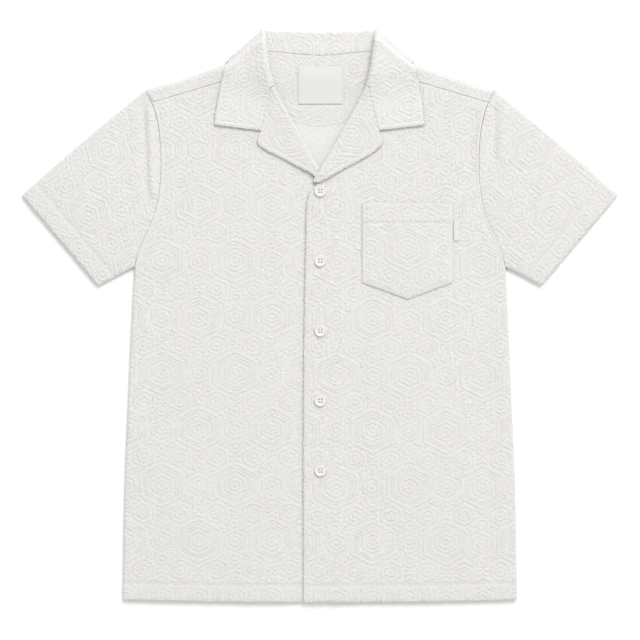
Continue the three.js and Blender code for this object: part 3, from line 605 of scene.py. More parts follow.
def frames_along(line, normals, pitch):
    """Even points along a line with their forward, sideways and outward directions."""
    step = np.linalg.norm(np.diff(line, axis=0), axis=1)
    run = np.concatenate([[0], np.cumsum(step)])
    count = max(2, int(run[-1] / pitch))
    at = (np.arange(count) + 0.5) * run[-1] / count

    def along(values, where):
        return np.stack([np.interp(where, run, column) for column in values.T], axis=1)

    forward = unit(along(line, at + 0.5) - along(line, at - 0.5))
    out = unit(along(normals, at))
    return along(line, at), forward, np.cross(out, forward), out


def stitches(name, lines):
    """Joined stitches: each is a spindle along the line, a little flattened, with three rings of five points
    and two tips."""
    length, gap, radius = trim().stitch_length * 1000, 0.8, 0.34
    along = np.repeat([-0.72, 0.0, 0.72], 5)[:, None] * length / 2
    wide = np.repeat([0.7, 1.0, 0.7], 5)[:, None] * radius
    angle = np.tile(np.radians(np.arange(5) * 72.0), 3)[:, None]
    blocks = []
    for line, normals in lines:
        frame_at = frames_along(line, normals, length + gap)
        centre, forward, across, out = (each[:, None] for each in frame_at)
        body = centre + forward * along + across * (wide * np.cos(angle))
        body = body + out * (wide * np.sin(angle) * 0.75 + 0.12)
        tips = centre + forward * (np.array([[-1.0], [1.0]]) * length / 2) - out * 0.25
        blocks.append(np.concatenate([body, tips], axis=1))
    points = np.concatenate(blocks)
    j = np.arange(5)
    k = (j + 1) % 5
    quads = quads_of(np.arange(15).reshape(3, 5), True).reshape(-1, 4)
    ends = np.concatenate([xyz(15, k, j), xyz(16, 10 + j, 10 + k)])
    base = np.arange(len(points))[:, None, None] * 17
    faces = [(kind[None] + base).reshape(-1, kind.shape[1])[:, ::-1] for kind in (quads, ends)]
    return settle(write_mesh(name, points.reshape(-1, 3), faces, [materials()["thread"]]), "terry")


def edge_pile(name, lines, seed, size=None):
    """Loops of pile along a rim: joined eight-faced tufts of uneven size, turned at random round it."""
    radius = (trim().tuft_size * 500) if size is None else size
    rng = np.random.default_rng(seed)
    corners = np.array([[1, 0, 0], [-1, 0, 0], [0, 1, 0], [0, -1, 0], [0, 0, 1], [0, 0, -1]], float)
    faces = np.array([
        [0, 2, 4], [2, 1, 4], [1, 3, 4], [3, 0, 4], [2, 0, 5], [1, 2, 5], [3, 1, 5], [0, 3, 5],
    ])
    blocks = []
    for line, normals in lines:
        centre, forward, across, out = frames_along(line, normals, radius * 0.55)
        n = len(centre)
        grow = rng.uniform(0.55, 1.15, (n, 1, 3)) * radius
        turn = rng.uniform(0, 2 * np.pi, n)
        side = across * np.cos(turn)[:, None] + out * np.sin(turn)[:, None]
        rise = np.cross(forward, side)
        lean = rng.normal(0, 0.35, (n, 1))
        ahead = forward + side * lean
        axes = np.stack([ahead, side, rise], axis=1)
        place = centre + side * rng.uniform(0, 0.75, (n, 1)) * radius
        place[:, 2] += 0.75 * radius
        blocks.append(place[:, None] + (corners[None] * grow) @ axes)
    points = np.concatenate(blocks)
    base = np.arange(len(points))[:, None, None] * 6
    faces = (faces[None] + base).reshape(-1, 3)
    return settle(write_mesh(name, points.reshape(-1, 3), [faces], [materials()["pile"]]), "terry")


# Materials
class Value:
    """A node's output that Python arithmetic adds Math nodes to."""

    def __init__(self, recipe, socket):
        self.recipe = recipe
        self.socket = socket

    def math(self, operation, a, b=0.0):
        return self.recipe.node("ShaderNodeMath", {"operation": operation}, {0: a, 1: b})

    def __add__(self, other):
        return self.math("ADD", self, other)

    def __radd__(self, other):
        return self.math("ADD", other, self)

    def __sub__(self, other):
        return self.math("SUBTRACT", self, other)

    def __rsub__(self, other):
        return self.math("SUBTRACT", other, self)

    def __mul__(self, other):
        return self.math("MULTIPLY", self, other)

    def __rmul__(self, other):
        return self.math("MULTIPLY", other, self)

    def __truediv__(self, other):
        return self.math("DIVIDE", self, other)


class Recipe:
    """A material being written: every node is added by its one method."""

    def __init__(self, name):
        self.material = bpy.data.materials.new(name)
        self.material.use_nodes = True
        self.tree = self.material.node_tree
        self.tree.nodes.clear()

    def node(self, kind, settings=None, inputs=None, output=0):
        node = self.tree.nodes.new(kind)
        for key, value in (settings or {}).items():
            setattr(node, key, value)
        for key, value in (inputs or {}).items():
            if isinstance(value, Value):
                self.tree.links.new(value.socket, node.inputs[key])
            else:
                node.inputs[key].default_value = value
        return Value(self, node.outputs[output]) if node.outputs else None

    def place(self):
        return self.node("ShaderNodeTexCoord", output="Object")

    def field(self, name):
        return self.node("ShaderNodeAttribute", {"attribute_name": name}, output="Fac")

    def noise(self, scale, detail=2.0, roughness=0.5):
        inputs = {"Vector": self.place(), "Scale": scale, "Detail": detail, "Roughness": roughness}
        return self.node("ShaderNodeTexNoise", None, inputs)

    def wave(self, direction, scale, distortion, more=None):
        settings = {"wave_type": "BANDS", "bands_direction": direction}
        inputs = {"Vector": self.place(), "Scale": scale, "Distortion": distortion, **(more or {})}
        return self.node("ShaderNodeTexWave", settings, inputs)

    def blend(self, share, a, b):
        return self.node("ShaderNodeMix", {"data_type": "RGBA"}, {0: share, 6: a, 7: b}, 2)

    def tint(self, share, colour, low, high):
        """From one shade of a colour to another."""
        return self.blend(share, shade(colour, low), shade(colour, high))

    def bump(self, height, distance, strength=1.0, normal=None):
        inputs = {"Height": height, "Distance": distance, "Strength": strength}
        if normal is not None:
            inputs["Normal"] = normal
        return self.node("ShaderNodeBump", None, inputs)

    def finish(self, inputs):
        surface = self.node("ShaderNodeBsdfPrincipled", None, inputs)
        self.node("ShaderNodeOutputMaterial", None, {"Surface": surface})
        return self.material


def shade(colour, factor):
    return tuple(channel * factor for channel in colour) + (1.0,)


def terry_material(name, colour, patterned=True):
    """Off-white terry: fine loops and clumps in the bump, and the relief's bands, whose edges are darkened
    as painted shade in the grooves.
    """
    r = Recipe(name)
    cells = r.node(
        "ShaderNodeTexVoronoi", {"feature": "F1"},
        {"Vector": r.place(), "Scale": 1 / cloth().loop_size, "Randomness": 0.9},
    )
    clumps = r.noise(420, 3.0, 0.65)
    slow = r.noise(16, 3.0)
    tone = clumps * 0.6 + slow * 0.4
    base = r.tint(tone, colour, 0.94, 1.045)
    specks = r.noise(760, 1.0, 0.5)
    base = r.blend(step_up(specks, 0.6, 0.2), base, shade(colour, 1.12))
    base = r.blend(1.0 - step_up(specks, 0.4, 0.2), base, shade(colour, 0.88))
    height = (1.0 - cells) * 0.25 + clumps * 0.75
    normal = r.bump(height, 0.0011, 1.0)
    if patterned:
        worn = step_up(r.noise(95, 3.0, 0.7), 0.5, 0.34)
        left = r.field("relief_left") * (0.25 + 0.75 * worn)
        band = hexagon_relief(r.field("grain_u"), r.field("grain_v"), 1.0)
        # The slopes between raised and lowered bands are darkened towards 0.86: painted shade in the
        # grooves.
        edge = band * (1.0 - band) * 4.0 * left
        base = r.blend(edge * (0.15 + clumps), base, shade(colour, 0.86))
        normal = r.bump(band * left, 0.0004, 0.9, normal)
    return r.finish({
        "Base Color": base, "Roughness": 0.97, "Normal": normal,
        "Sheen Weight": 0.25, "Sheen Roughness": 0.6, "Specular IOR Level": 0.15,
    })


def reverse_material():
    """The smooth knitted reverse: fine ribs along the length, a cooler, greyer tone, and painted shade along
    the relief's bands.
    """
    r = Recipe("terry_reverse")
    ribs = r.wave("X", 190.0, 1.5, {"Detail": 1.0, "Detail Scale": 2.0})
    base = r.tint(r.noise(40, 3.0), cloth().reverse_colour, 0.96, 1.03)
    band = hexagon_relief(r.field("grain_u"), r.field("grain_v"), 1.2)
    # The slopes of the relief's bands are darkened: painted shade in the grooves.
    base = r.blend(band * (1.0 - band) * 2.0, base, shade(cloth().reverse_colour, 0.93))
    normal = r.bump(ribs * 0.3 + r.noise(700) * 0.7, 0.0006, 0.8)
    normal = r.bump(band, 0.0002, 0.8, normal)
    return r.finish({
        "Base Color": base, "Roughness": 0.85, "Normal": normal,
        "Sheen Weight": 0.1, "Specular IOR Level": 0.2,
    })


def label_material():
    """Woven tape: two fine sets of threads that cross, and a soft satin gloss."""
    r = Recipe("woven_tape")
    weave = r.wave("Y", 420.0, 0.6) * 0.6 + r.wave("X", 300.0, 0.6) * 0.4
    return r.finish({
        "Base Color": r.tint(weave, trim().label_colour, 0.95, 1.02), "Roughness": 0.55,
        "Normal": r.bump(weave, 0.00025, 0.7), "Sheen Weight": 0.15, "Specular IOR Level": 0.35,
    })


def thread_material():
    r = Recipe("sewing_thread")
    twist = r.noise(1500, 1.0)
    return r.finish({
        "Base Color": r.tint(twist, trim().thread_colour, 0.93, 1.03), "Roughness": 0.6,
        "Normal": r.bump(twist, 0.0002, 0.6), "Sheen Weight": 0.2, "Specular IOR Level": 0.3,
    })


def button_material():
    """Off-white polyester: a faint swirl under a soft gloss, and painted shade, near black, inside the
    thread holes.
    """
    r = Recipe("button_polyester")
    swirl = r.noise(160, 4.0, 0.55)
    base = r.tint(swirl, trim().button_colour, 0.96, 1.03)
    # The thread holes are painted near black: painted shade inside them.
    base = r.blend(r.field("hole"), base, (0.16, 0.145, 0.12, 1.0))
    return r.finish({
        "Base Color": base, "Roughness": swirl * 0.14 + 0.2, "Normal": r.bump(swirl, 0.0001, 0.4),
        "Coat Weight": 0.35, "Coat Roughness": 0.15, "Specular IOR Level": 0.5,
    })


def floor_material():
    r = Recipe("pale_floor")
    base = r.tint(r.noise(25, 3.0), stage().floor_colour, 0.995, 1.0)
    return r.finish({"Base Color": base, "Roughness": 0.9, "Specular IOR Level": 0.05})


FINISHES = {
    "terry": lambda: terry_material("terry", cloth().terry_colour),
    # The pile is a tenth lighter than the cloth: a painted highlight along the rims.
    "pile": lambda: terry_material("terry_pile_painted_highlight", [1.1 * channel for channel in cloth().terry_colour], False),
    "leaf": lambda: terry_material("terry_leaf", [1.03 * channel for channel in cloth().terry_colour]),
    "reverse": reverse_material,
    "label": label_material,
    "thread": thread_material,
    "button": button_material,
}
MADE = {}


def materials():
    """Every finish of the shirt, made once from the settings."""
    if not MADE:
        MADE.update({name: make() for name, make in FINISHES.items()})
    return MADE


# Settings
def a_colour(name, description, default):
    return bpy.props.FloatVectorProperty(
        name=name, description=description, subtype="COLOR", size=3, min=0, max=1, default=default)


def a_length(name, description, low, high, default):
    return bpy.props.FloatProperty(
        name=name, description=description, subtype="DISTANCE", unit="LENGTH", precision=5,
        min=low, max=high, default=default)


def a_strength(name, description, high, default):
    return bpy.props.FloatProperty(name=name, description=description, min=0, max=high, default=default)


class ClothSettings(bpy.types.PropertyGroup):
    """Colours and surface of the cloth"""

    terry_colour: a_colour("Terry colour", "Colour of the looped side", (0.76, 0.75, 0.728))
    reverse_colour: a_colour("Reverse colour", "Colour of the smooth reverse", (0.775, 0.778, 0.764))
    relief: a_length("Relief height", "Height of the raised hexagon lines", 0, 0.002, 0.0003)
    loop_size: a_length("Loop size", "Distance between two terry loops", 0.0005, 0.004, 0.0014)


class TrimSettings(bpy.types.PropertyGroup):
    """Buttons, thread, labels and the pile at the edges"""

    button_colour: a_colour("Button colour", "Colour of the five buttons", (0.83, 0.815, 0.76))
    thread_colour: a_colour("Thread colour", "Colour of the sewing thread", (0.89, 0.885, 0.86))
    label_colour: a_colour("Label colour", "Colour of the bare woven labels", (0.78, 0.772, 0.75))
    stitch_length: a_length("Stitch length", "Length of one stitch", 0.001, 0.006, 0.0026)
    tuft_size: a_length("Tuft size", "Size of the loops of pile at the edges", 0.0005, 0.004, 0.0024)


class StageSettings(bpy.types.PropertyGroup):
    """Floor, light and camera"""

    floor_colour: a_colour("Floor colour", "Colour of the pale floor", (1.0, 1.0, 1.0))
    key_strength: a_strength("Key strength", "Power of the soft key light in watts", 2000, 460.0)
    sky_strength: a_strength("Sky strength", "Strength of the even light from all round", 4, 0.68)
    camera_height: a_length("Camera height", "Height of the camera above the floor", 1, 10, 3.0)
    view_width: a_length("View width", "Width of floor that the picture spans", 0.2, 3, 0.832)


def cloth():
    return bpy.context.scene.shirt_cloth


def trim():
    return bpy.context.scene.shirt_trim


def stage():
    return bpy.context.scene.shirt_stage


# Shapes of the pieces
def edge_arc(side, y, angles, is_back):
    """The outer end of a panel: a quarter turn of radius 2.4 up to the side seam below the underarm, and
    flat to the armhole above it. Rows are y and columns the angles, 90 where it still lies flat."""
    a = np.radians(angles)[None, :]
    y = y[:, None]
    turned = ease((UNDERARM_Y + 5 - y) / 9)
    outline = np.where(y > UNDERARM_Y, armhole_x(y), side_x(y))
    flat_step = 4 * (np.degrees(a) / 90) * (1 - turned)
    x = side * (outline - FOLD_INSET * turned + FOLD_RADIUS * np.cos(a) * turned - flat_step)
    rise = FOLD_RADIUS * (1 - np.sin(a)) * turned
    return xyz(x, y, CLOTH / 2 + rise if is_back else upper_mid(x, y) - rise)


def spread_at(y):
    """How far out the yoke's columns reach at y, as a share of the shoulder tip's."""
    return armhole_x(np.minimum(y, TIP_Y)) / TIP_X


def seam_height(u, seam_y):
    """The height at which the columns u, which fan out along the armhole, meet a seam."""
    y = seam_y(u)
    for _ in range(12):
        y = seam_y(u * spread_at(y))
    return y


def back_sheet():
    """Rows follow the hem at the bottom and the yoke seam at the top, columns spread between the sides."""
    y = mix(HEM_CORNER_Y, BACK_TOP_Y, spread(120, 630))
    f = ((y - HEM_CORNER_Y) / (BACK_TOP_Y - HEM_CORNER_Y))[:, None]
    half = edge_arc(1, y, [90.0], True)[..., 0]
    x = np.linspace(-1, 1, 97)[None, :] * half
    bend = mix(hem_y(x) - HEM_CORNER_Y, yoke_back_y(x) - BACK_TOP_Y - 0.05, f)
    row_y = y[:, None] + bend
    middle = xyz(x, row_y, back_mid(x, row_y))
    angles = np.linspace(90, 4, 9)[1:]
    left = edge_arc(-1, y, angles, True)[:, ::-1]
    right = edge_arc(1, y, angles, True)
    return Sheet(np.concatenate([left, middle, right], axis=1))


def front_sheet(side, rows=432, flat=156, arc=12):
    """Rows are level up to y = 142 and then fan out to the sloping yoke seam. Columns run from the free
    edge or neck seam to the flat of the side, and on round the side fold."""
    key = mix(HEM_CORNER_Y, YOKE_TOP_Y + 0.2, spread(rows, 643))
    f = ((key - HEM_CORNER_Y) / (YOKE_TOP_Y - HEM_CORNER_Y))[:, None]
    fan = ease((key - 142) / (YOKE_TOP_Y - 142))[:, None]

    def row_y(own):
        tilt = yoke_front_y(np.maximum(own, 82)) - 275.5
        return key[:, None] + (hem_y(own) - HEM_CORNER_Y) * (1 - f) + tilt * fan

    def inner(y):
        neck = neck_front_x(y) + 0.1
        return neck if side > 0 else np.where(y > UNDER_EDGE[0][0], neck, under_edge_x(y))

    own = inner(key[:, None])
    for _ in range(12):
        own = mix(own, inner(row_y(own)), 0.6)
    own = mix(own, edge_arc(1, key, [90.0], False)[..., 0], spread(flat, 230, ends=(True, False))[None, :])
    y = row_y(own)
    middle = xyz(side * own, y, front_mid(side, side * own, y))
    turned = edge_arc(side, key, np.linspace(90, 5, arc + 1)[1:], False)
    turned[..., 1] += (yoke_front_y(turned[..., 0]) - 275.5) * fan ** 8
    grid = np.concatenate([middle, turned], axis=1)
    return Sheet(grid if side > 0 else grid[:, ::-1])


def yoke_sheet():
    """Columns run from the back seam up, over the shoulder fold and down to the front seam. Those between
    the neck points end at the neck seam."""
    u = np.concatenate([
        -mix(TIP_X, NECK_X, spread(SHOULDER_COLS, 145, ends=(True, False))),
        np.linspace(-NECK_X, NECK_X, NECK_COLS + 1)[1:],
        mix(NECK_X, TIP_X, spread(SHOULDER_COLS, 145, ends=(False, True)))[1:],
    ])
    side, au = np.sign(u), np.abs(u)
    on_shoulder = au >= NECK_X - 1e-6
    f = np.clip((au - NECK_X) / (TIP_X - NECK_X), 0, 1)
    lean = unit(np.stack([mix(0.16, 0.487, f), mix(0.987, 0.873, f)], axis=1))
    top_x = np.where(on_shoulder, au - FOLD_INSET * lean[:, 0], au)
    top_y = np.where(on_shoulder, shoulder_y(au) - FOLD_INSET * lean[:, 1], neck_back_y(au) - 0.1)
    back_y, front_y = seam_height(au, yoke_back_y), seam_height(au, yoke_front_y)

    v = spread(YOKE_BACK_ROWS, 76, ends=(True, False))[:, None]
    y = mix(back_y, top_y, v)
    x = side * mix(au * spread_at(y), top_x, v ** 6)
    back = xyz(x, y, back_mid(x, y))

    a = np.radians(np.linspace(0, 180, 9))[1:, None]
    out = FOLD_RADIUS * np.sin(a)
    rise = FRONT_MID - FOLD_RADIUS * (1 + np.cos(a)) + lift(top_x, top_y)
    turn = xyz(side * (top_x + lean[:, 0] * out), top_y + lean[:, 1] * out, rise)

    w = spread(24, 26, (0.5, 0.8), ends=(False, True))[1:, None]
    y = mix(top_y, front_y, w)
    own = np.where(au < NECK_X + 0.5, neck_front_x(y) + 0.1, au * spread_at(y))
    x = side * mix(top_x, own, ease(w * 2))
    front = xyz(x, y, upper_mid(x, y))
    grid = np.concatenate([back, turn, front])
    cell = np.arange(len(u) - 1)
    shoulder_cell = (cell < SHOULDER_COLS) | (cell >= SHOULDER_COLS + NECK_COLS)
    kept = (np.arange(len(grid) - 1) < YOKE_BACK_ROWS)[:, None] | shoulder_cell[None, :]
    return Sheet(grid, kept)


def sleeve_sheet(side, rows=140, top=132, arc=8, bottom=44):
    """Rings from the armhole to the cuff: along the top layer, round the upper fold, back along the bottom
    layer and round the underarm fold."""

    def plan(s, q):
        hy = mix(UNDERARM_Y, TIP_Y, q)
        ends = ease(np.abs(q - 0.5) * 10 - 4)
        sx, sy = armhole_x(hy) + 0.1 + 0.3 * ends, hy
        cx, cy = mix(CUFF_BOTTOM[0], CUFF_TOP[0], q), mix(CUFF_BOTTOM[1], CUFF_TOP[1], q)
        bow = 1.6 * np.sin(np.pi * s) * ease(q * 3 - 2)
        return np.stack([mix(sx, cx, s) + bow * 0.65, mix(sy, cy, s) + bow * 0.76], axis=-1)

    s = spread(rows, 130)[:, None]
    low, high = plan(s, np.array([[0.0]])), plan(s, np.array([[1.0]]))
    low_dir = unit(plan(s, np.array([[0.03]])) - low)
    high_dir = unit(plan(s, np.array([[0.97]])) - high)
    share = FOLD_INSET / np.linalg.norm(high - low, axis=-1)

    def flat(q, on_top):
        at = mix(share, 1 - share, q[None, :])
        p = plan(s, at)
        loft = 1.4 * np.sin(np.pi * s) * np.sqrt(np.sin(np.pi * q[None, :]).clip(0))
        rise = FRONT_MID + folds(side * p[..., 0], p[..., 1]) + loft if on_top else CLOTH / 2
        return xyz(p[..., 0], p[..., 1], rise)

    def fold(centre, direction, angles):
        a = np.radians(angles)[None, :, None]
        p = centre - direction * FOLD_RADIUS * np.sin(a)
        return xyz(p[..., 0], p[..., 1], (CLOTH / 2 + FOLD_RADIUS * (1 + np.cos(a)))[..., 0])

    inner = np.linspace(0, 180, arc + 1)[1:-1]
    grid = np.concatenate([
        flat(np.linspace(0, 1, top + 1), True), fold(high + high_dir * FOLD_INSET, high_dir, inner),
        flat(np.linspace(1, 0, bottom + 1), False), fold(low + low_dir * FOLD_INSET, low_dir, inner[::-1]),
    ], axis=1)
    grid[..., 0] *= side
    return Sheet(grid[:, ::-1] if side > 0 else grid, closed=True)


def fall_turn(turn):
    """The leaf's edge where it goes round the shoulder: half a circle of radius 6.1 in a slanting plane."""
    t = np.radians(turn)
    out = 6.1 * np.sin(t)
    return 118 + 0.6325 * out, 325.2 + 0.7746 * out, 7.5 - 6.1 * np.cos(t)


def fold_sections(side, neck, roll, edge, turn, square, stand_parts=STAND_PARTS):
    """Sections of a collar or lapel, one for each row: the part below from the neck seam, half a circle at
    the roll, and the leaf out to its edge. turn is 0 on the back, where the leaf lies below, and 180 on the
    front, where it lies on top."""
    along = unit(roll - neck)
    slope = roll_x(roll[:, 1] + 1) - roll_x(roll[:, 1] - 1)
    across = unit(np.stack([np.full(len(roll), -2.0), slope], axis=1))
    inward = unit(mix(along, across, square[:, None]))
    t = np.radians(turn)
    front = turn > 179.9
    stand_z = 4.8 - 2.3 * (np.cos(t) - 1)

    def under_z(p):
        return np.where(front, front_mid(side, side * p[:, 0], p[:, 1]), stand_z)

    guess = roll - inward * 4
    gap = (leaf_mid(side, side * guess[:, 0], guess[:, 1]) - under_z(guess)) / 2
    radius = np.where(front, gap, mix(1.7, 2.4, ease(turn / 180)))[:, None]
    centre = roll - inward * (DOUBLED / 2 + radius)
    outward = xyz(inward[:, 1] * np.sin(t), -inward[:, 0] * np.sin(t), -np.cos(t))
    columns = []
    for f in np.linspace(0, 1, stand_parts + 1)[:-1]:
        p = mix(neck, centre, f)
        columns.append(xyz(*p.T, under_z(p)))
    base, level = xyz(*centre.T, under_z(centre)), xyz(*inward.T, 0.0)
    for a in np.radians(np.linspace(0, 180, ROLL_PARTS + 1)):
        columns.append(base + level * radius * np.sin(a) + outward * radius * (1 - np.cos(a)))
    start = columns[-1]
    for f in np.linspace(0, 1, LEAF_PARTS + 1)[1:]:
        p = mix(start, edge, f)
        p[:, 2] = np.where(front, leaf_mid(side, side * p[:, 0], p[:, 1]), p[:, 2])
        columns.append(p)
    points = np.stack(columns, axis=1)
    points[..., 0] *= side
    return points


def finer(points, count):
    """Rows refined to count + 1, evenly along the mean distance between them."""
    gap = np.linalg.norm(np.diff(points, axis=0), axis=2).mean(axis=1)
    keys = np.concatenate([[0], np.cumsum(gap)])
    return through(keys, points)(np.linspace(0, keys[-1], count + 1))


def collar_sheet(main=216, extra=28):
    """Both halves' sections in one strip, with the leaf carried on past the neck seam to the gorge."""
    table = np.array([[np.nan if v is None else v for v in row] for row in COLLAR_ROWS], float)
    turn, neck_key, inset, square = table[:, 0], table[:, 1], table[:, 2], table[:, 7]
    behind = turn <= 90
    neck = np.stack([
        np.where(behind, neck_key, neck_front_x(neck_key) - inset),
        np.where(behind, neck_back_y(neck_key), neck_key),
    ], axis=1)
    edge = xyz(table[:, 5], table[:, 6], DOUBLED / 2)
    edge = np.where(np.isnan(edge), xyz(*fall_turn(turn)), edge)
    half = {s: fold_sections(s, neck, table[:, 3:5], edge, turn, square) for s in (-1, 1)}
    middle = finer(np.concatenate([half[-1][::-1][:-1], half[1]]), main)
    ends = []
    for s in (-1, 1):
        last = half[s][-1]
        f = np.linspace(0, 1, len(last) - UNDER_PARTS)
        leaves = [last[UNDER_PARTS:]]
        for gx, gy, ex, ey in GORGE:
            x, y = s * mix(gx, ex, f), mix(gy, ey, f)
            leaves.append(xyz(x, y, leaf_mid(s, x, y)))
        x, y, _ = finer(np.stack(leaves), extra)[1:].transpose(2, 0, 1)
        block = np.repeat(last[None], extra, axis=0)
        block[:, UNDER_PARTS:] = xyz(x, y, leaf_mid(s, x, y))
        ends.append(block)
    grid = np.concatenate([ends[0][::-1], middle, ends[1]])
    row, column = np.arange(len(grid) - 1)[:, None], np.arange(grid.shape[1] - 1)[None, :]
    kept = ((row >= extra) & (row < extra + main)) | (column >= UNDER_PARTS)
    return Sheet(grid[::-1], kept[::-1])


def lapel_sheet(side, rows=84):
    """Rows run down from the gorge. The leaf sinks at its lower end, where the fronts meet."""
    table = np.array(LAPEL_ROWS + (OVER_LAPEL_END if side > 0 else UNDER_LAPEL_END), float)
    i = np.arange(len(table))
    shift = side * 2 * ease((i - 2) / 2) * ease((9 - i) / 2)
    neck = np.stack([neck_front_x(table[:, 0]) - 0.9, table[:, 0]], axis=1)
    edge = xyz(table[:, 3], table[:, 4] - shift, 0.0)
    flat = np.full(len(table), 180.0)
    sections = fold_sections(side, neck, table[:, 1:3], edge, flat, np.ones(len(table)), HINGE_PARTS)
    grid = finer(sections, rows)
    sunk = 2.4 * ease((184 - grid[..., 1]) / 12) if side > 0 else 0.6 * ease((190 - grid[..., 1]) / 10)
    grid[..., 2] -= sunk * (np.arange(grid.shape[1]) > HINGE_PARTS + 4)
    return Sheet(grid[::-1] if side > 0 else grid)


def pocket_sheet():
    """Rows run from the pointed bottom to the hem, and the middle stands a little proud."""
    left, right, top = POCKET["left"], POCKET["right"], POCKET["top"]
    u, v = spread(72, 117)[None, :], spread(80, 120)[:, None]
    x = mix(left, right, u)
    middle = (left + right) / 2
    bottom = mix(POCKET["tip"], POCKET["side"], np.abs(x - middle) / ((right - left) / 2))
    y = mix(bottom, top, v)
    slack = 0.9 * np.sin(np.pi * u) * np.sin(np.pi * np.minimum(1, v * 1.1) / 1.4)
    border = np.minimum(np.minimum(x - left, right - x), y - bottom)
    pressed = 0.8 * (1 - ease(border / 5))
    return Sheet(xyz(x, y, front_mid(1, x, y) + CLOTH / 2 + 0.3 + POCKET["wall"] / 2 + slack - pressed))


def pocket_creases(x, y):
    """Short waves just below the hem, and two long soft ones down the pocket."""
    top = POCKET["top"] - 33
    waves = 0.45 * np.sin(x / 4.6 + 0.8 * np.sin(x / 19)) * np.exp(-(((y - top) / 6) ** 2))
    across = x - (y - 90) * 0.12
    long = -trough(across, 74, 5, 0.5) + trough(across, 82, 4, 0.5)
    return waves + long * ease((120 - y) / 18) * ease((y - 50) / 18)


def patch_sheet(left, right, bottom, top, mid_at, rows, cols, pillow=0.25):
    """A label on a panel: it swells by the square root of the product of its shares across and up."""
    x, y = np.meshgrid(mix(left, right, spread(cols, right - left, (0.3, 0.5))),
                       mix(bottom, top, spread(rows, top - bottom, (0.3, 0.5))))
    across, up = (x - left) / (right - left), (y - bottom) / (top - bottom)
    swell = pillow * (16 * across * (1 - across) * up * (1 - up)) ** 0.5
    return Sheet(xyz(x, y, mid_at(x, y) + CLOTH / 2 + 0.3 + LABEL_WALL / 2 + swell))


# Operators
class AddStage(bpy.types.Operator):
    """Adds the pale floor, the soft light and the camera straight above"""

    bl_idname = "shirt.add_stage"
    bl_label = "Floor, Light and Camera"
    bl_options = {"REGISTER", "UNDO"}

    def execute(self, context):
        scene = context.scene
        corners = FLOOR_HALF * np.array([[-1, -1, 0], [1, -1, 0], [1, 1, 0], [-1, 1, 0]]) + (0, 0, FLOOR_Z)
        floor = write_mesh("floor", corners, [np.array([[0, 1, 2, 3]])], [floor_material()], smooth=False)
        world = bpy.data.worlds.new("even_light")
        world.use_nodes = True
        background = world.node_tree.nodes["Background"]
        background.inputs["Color"].default_value = (1.0, 1.0, 1.0, 1.0)
        background.inputs["Strength"].default_value = stage().sky_strength
        scene.world = world
        key = bpy.data.lights.new("key_light", "AREA")
        key.shape = "DISK"
        key.size = KEY_SIZE
        key.energy = stage().key_strength
        lamp = bpy.data.objects.new("key_light", key)
        lamp.location = KEY_PLACE
        lamp.rotation_euler = np.radians(KEY_TILT)
        scene.collection.objects.link(lamp)
        camera = bpy.data.cameras.new("camera")
        camera.sensor_width = SENSOR
        camera.lens = SENSOR * stage().camera_height / stage().view_width
        eye = bpy.data.objects.new("camera", camera)
        eye.location = (0.0, CAMERA_Y, stage().camera_height)
        scene.collection.objects.link(eye)
        scene.camera = eye
        scene.view_settings.view_transform = "Standard"
        return {"FINISHED"}


class AddBack(bpy.types.Operator):
    """Adds the back panel, terry outside and smooth reverse inside"""

    bl_idname = "shirt.add_back"
    bl_label = "Back Panel"
    bl_options = {"REGISTER", "UNDO"}

    def execute(self, context):
        sheet = back_sheet()
        share = sheet.share(("free", "seam"), ("seam", "seam"))
        over = CLOTH / 2 * share + trough(sheet.run(0, True), BACK_SEAM_ROW, 1.2, 0.35)
        points, faces = sheet.wall(over, CLOTH / 2 * share, 2)
        finish = [materials()[name] for name in ("reverse", "terry")]
        piece = write_mesh("shirt_back", points, faces, finish, [0, 1, 1], grain_fields(*sheet.plan, share))
        settle(piece, "terry", "back_panel")
        middle = share.shape[1] // 2
        shown = slice(middle - 20, middle + 21)
        sewn = stitches("back_stitching", [sheet.line(0, BACK_SEAM_ROW, True, CLOTH / 2 - 0.3, shown)])
        return {"FINISHED"}


class AddYoke(bpy.types.Operator):
    """Adds the yoke from the back seam over both shoulders"""

    bl_idname = "shirt.add_yoke"
    bl_label = "Yoke"
    bl_options = {"REGISTER", "UNDO"}

    def execute(self, context):
        sheet = yoke_sheet()
        x, y = sheet.plan
        on_shoulder = np.abs(x) > NECK_X
        off_label = ease((np.abs(x) - 28) / 4) + ease((272 - y) / 4) + ease((y - 322) / 4)
        from_front = sheet.run(0, True)
        from_armhole = np.minimum(sheet.run(1), sheet.run(1, True))
        left = np.clip(off_label, 0, 1) * (1 - sewn_over(from_armhole, PRESSED) * on_shoulder)
        left = left * (1 - sewn_over(from_front, 3.6) * on_shoulder)
        marks = trough(sheet.run(0), BACK_SEAM_ROW, 1.2, 0.4) + armhole_seam(from_armhole)
        marks = marks + trough(from_front, FRONT_SEAM_ROW, 0.8, 0.28) * on_shoulder
        grain = (*grain_at(x, y, GRAIN_LEFT), left)
        piece = cloth_piece("yoke", sheet, grain, marks, sheet.share(("seam", "seam"), ("seam", "seam")))
        far = SHOULDER_COLS + NECK_COLS
        lines = [sheet.line(0, BACK_SEAM_ROW, False, CLOTH / 2 - 0.55, slice(SHOULDER_COLS + 8, far - 7))]
        for shoulder in (slice(2, SHOULDER_COLS), slice(far + 2, -2)):
            lines.append(sheet.line(0, FRONT_SEAM_ROW, True, CLOTH / 2 - 0.35, shoulder))
        for last in (False, True):
            lines.append(sheet.line(1, ARMHOLE_ROW, last, CLOTH / 2 - 0.4, slice(3, -3)))
        sewn = stitches("yoke_stitching", lines)
        return {"FINISHED"}


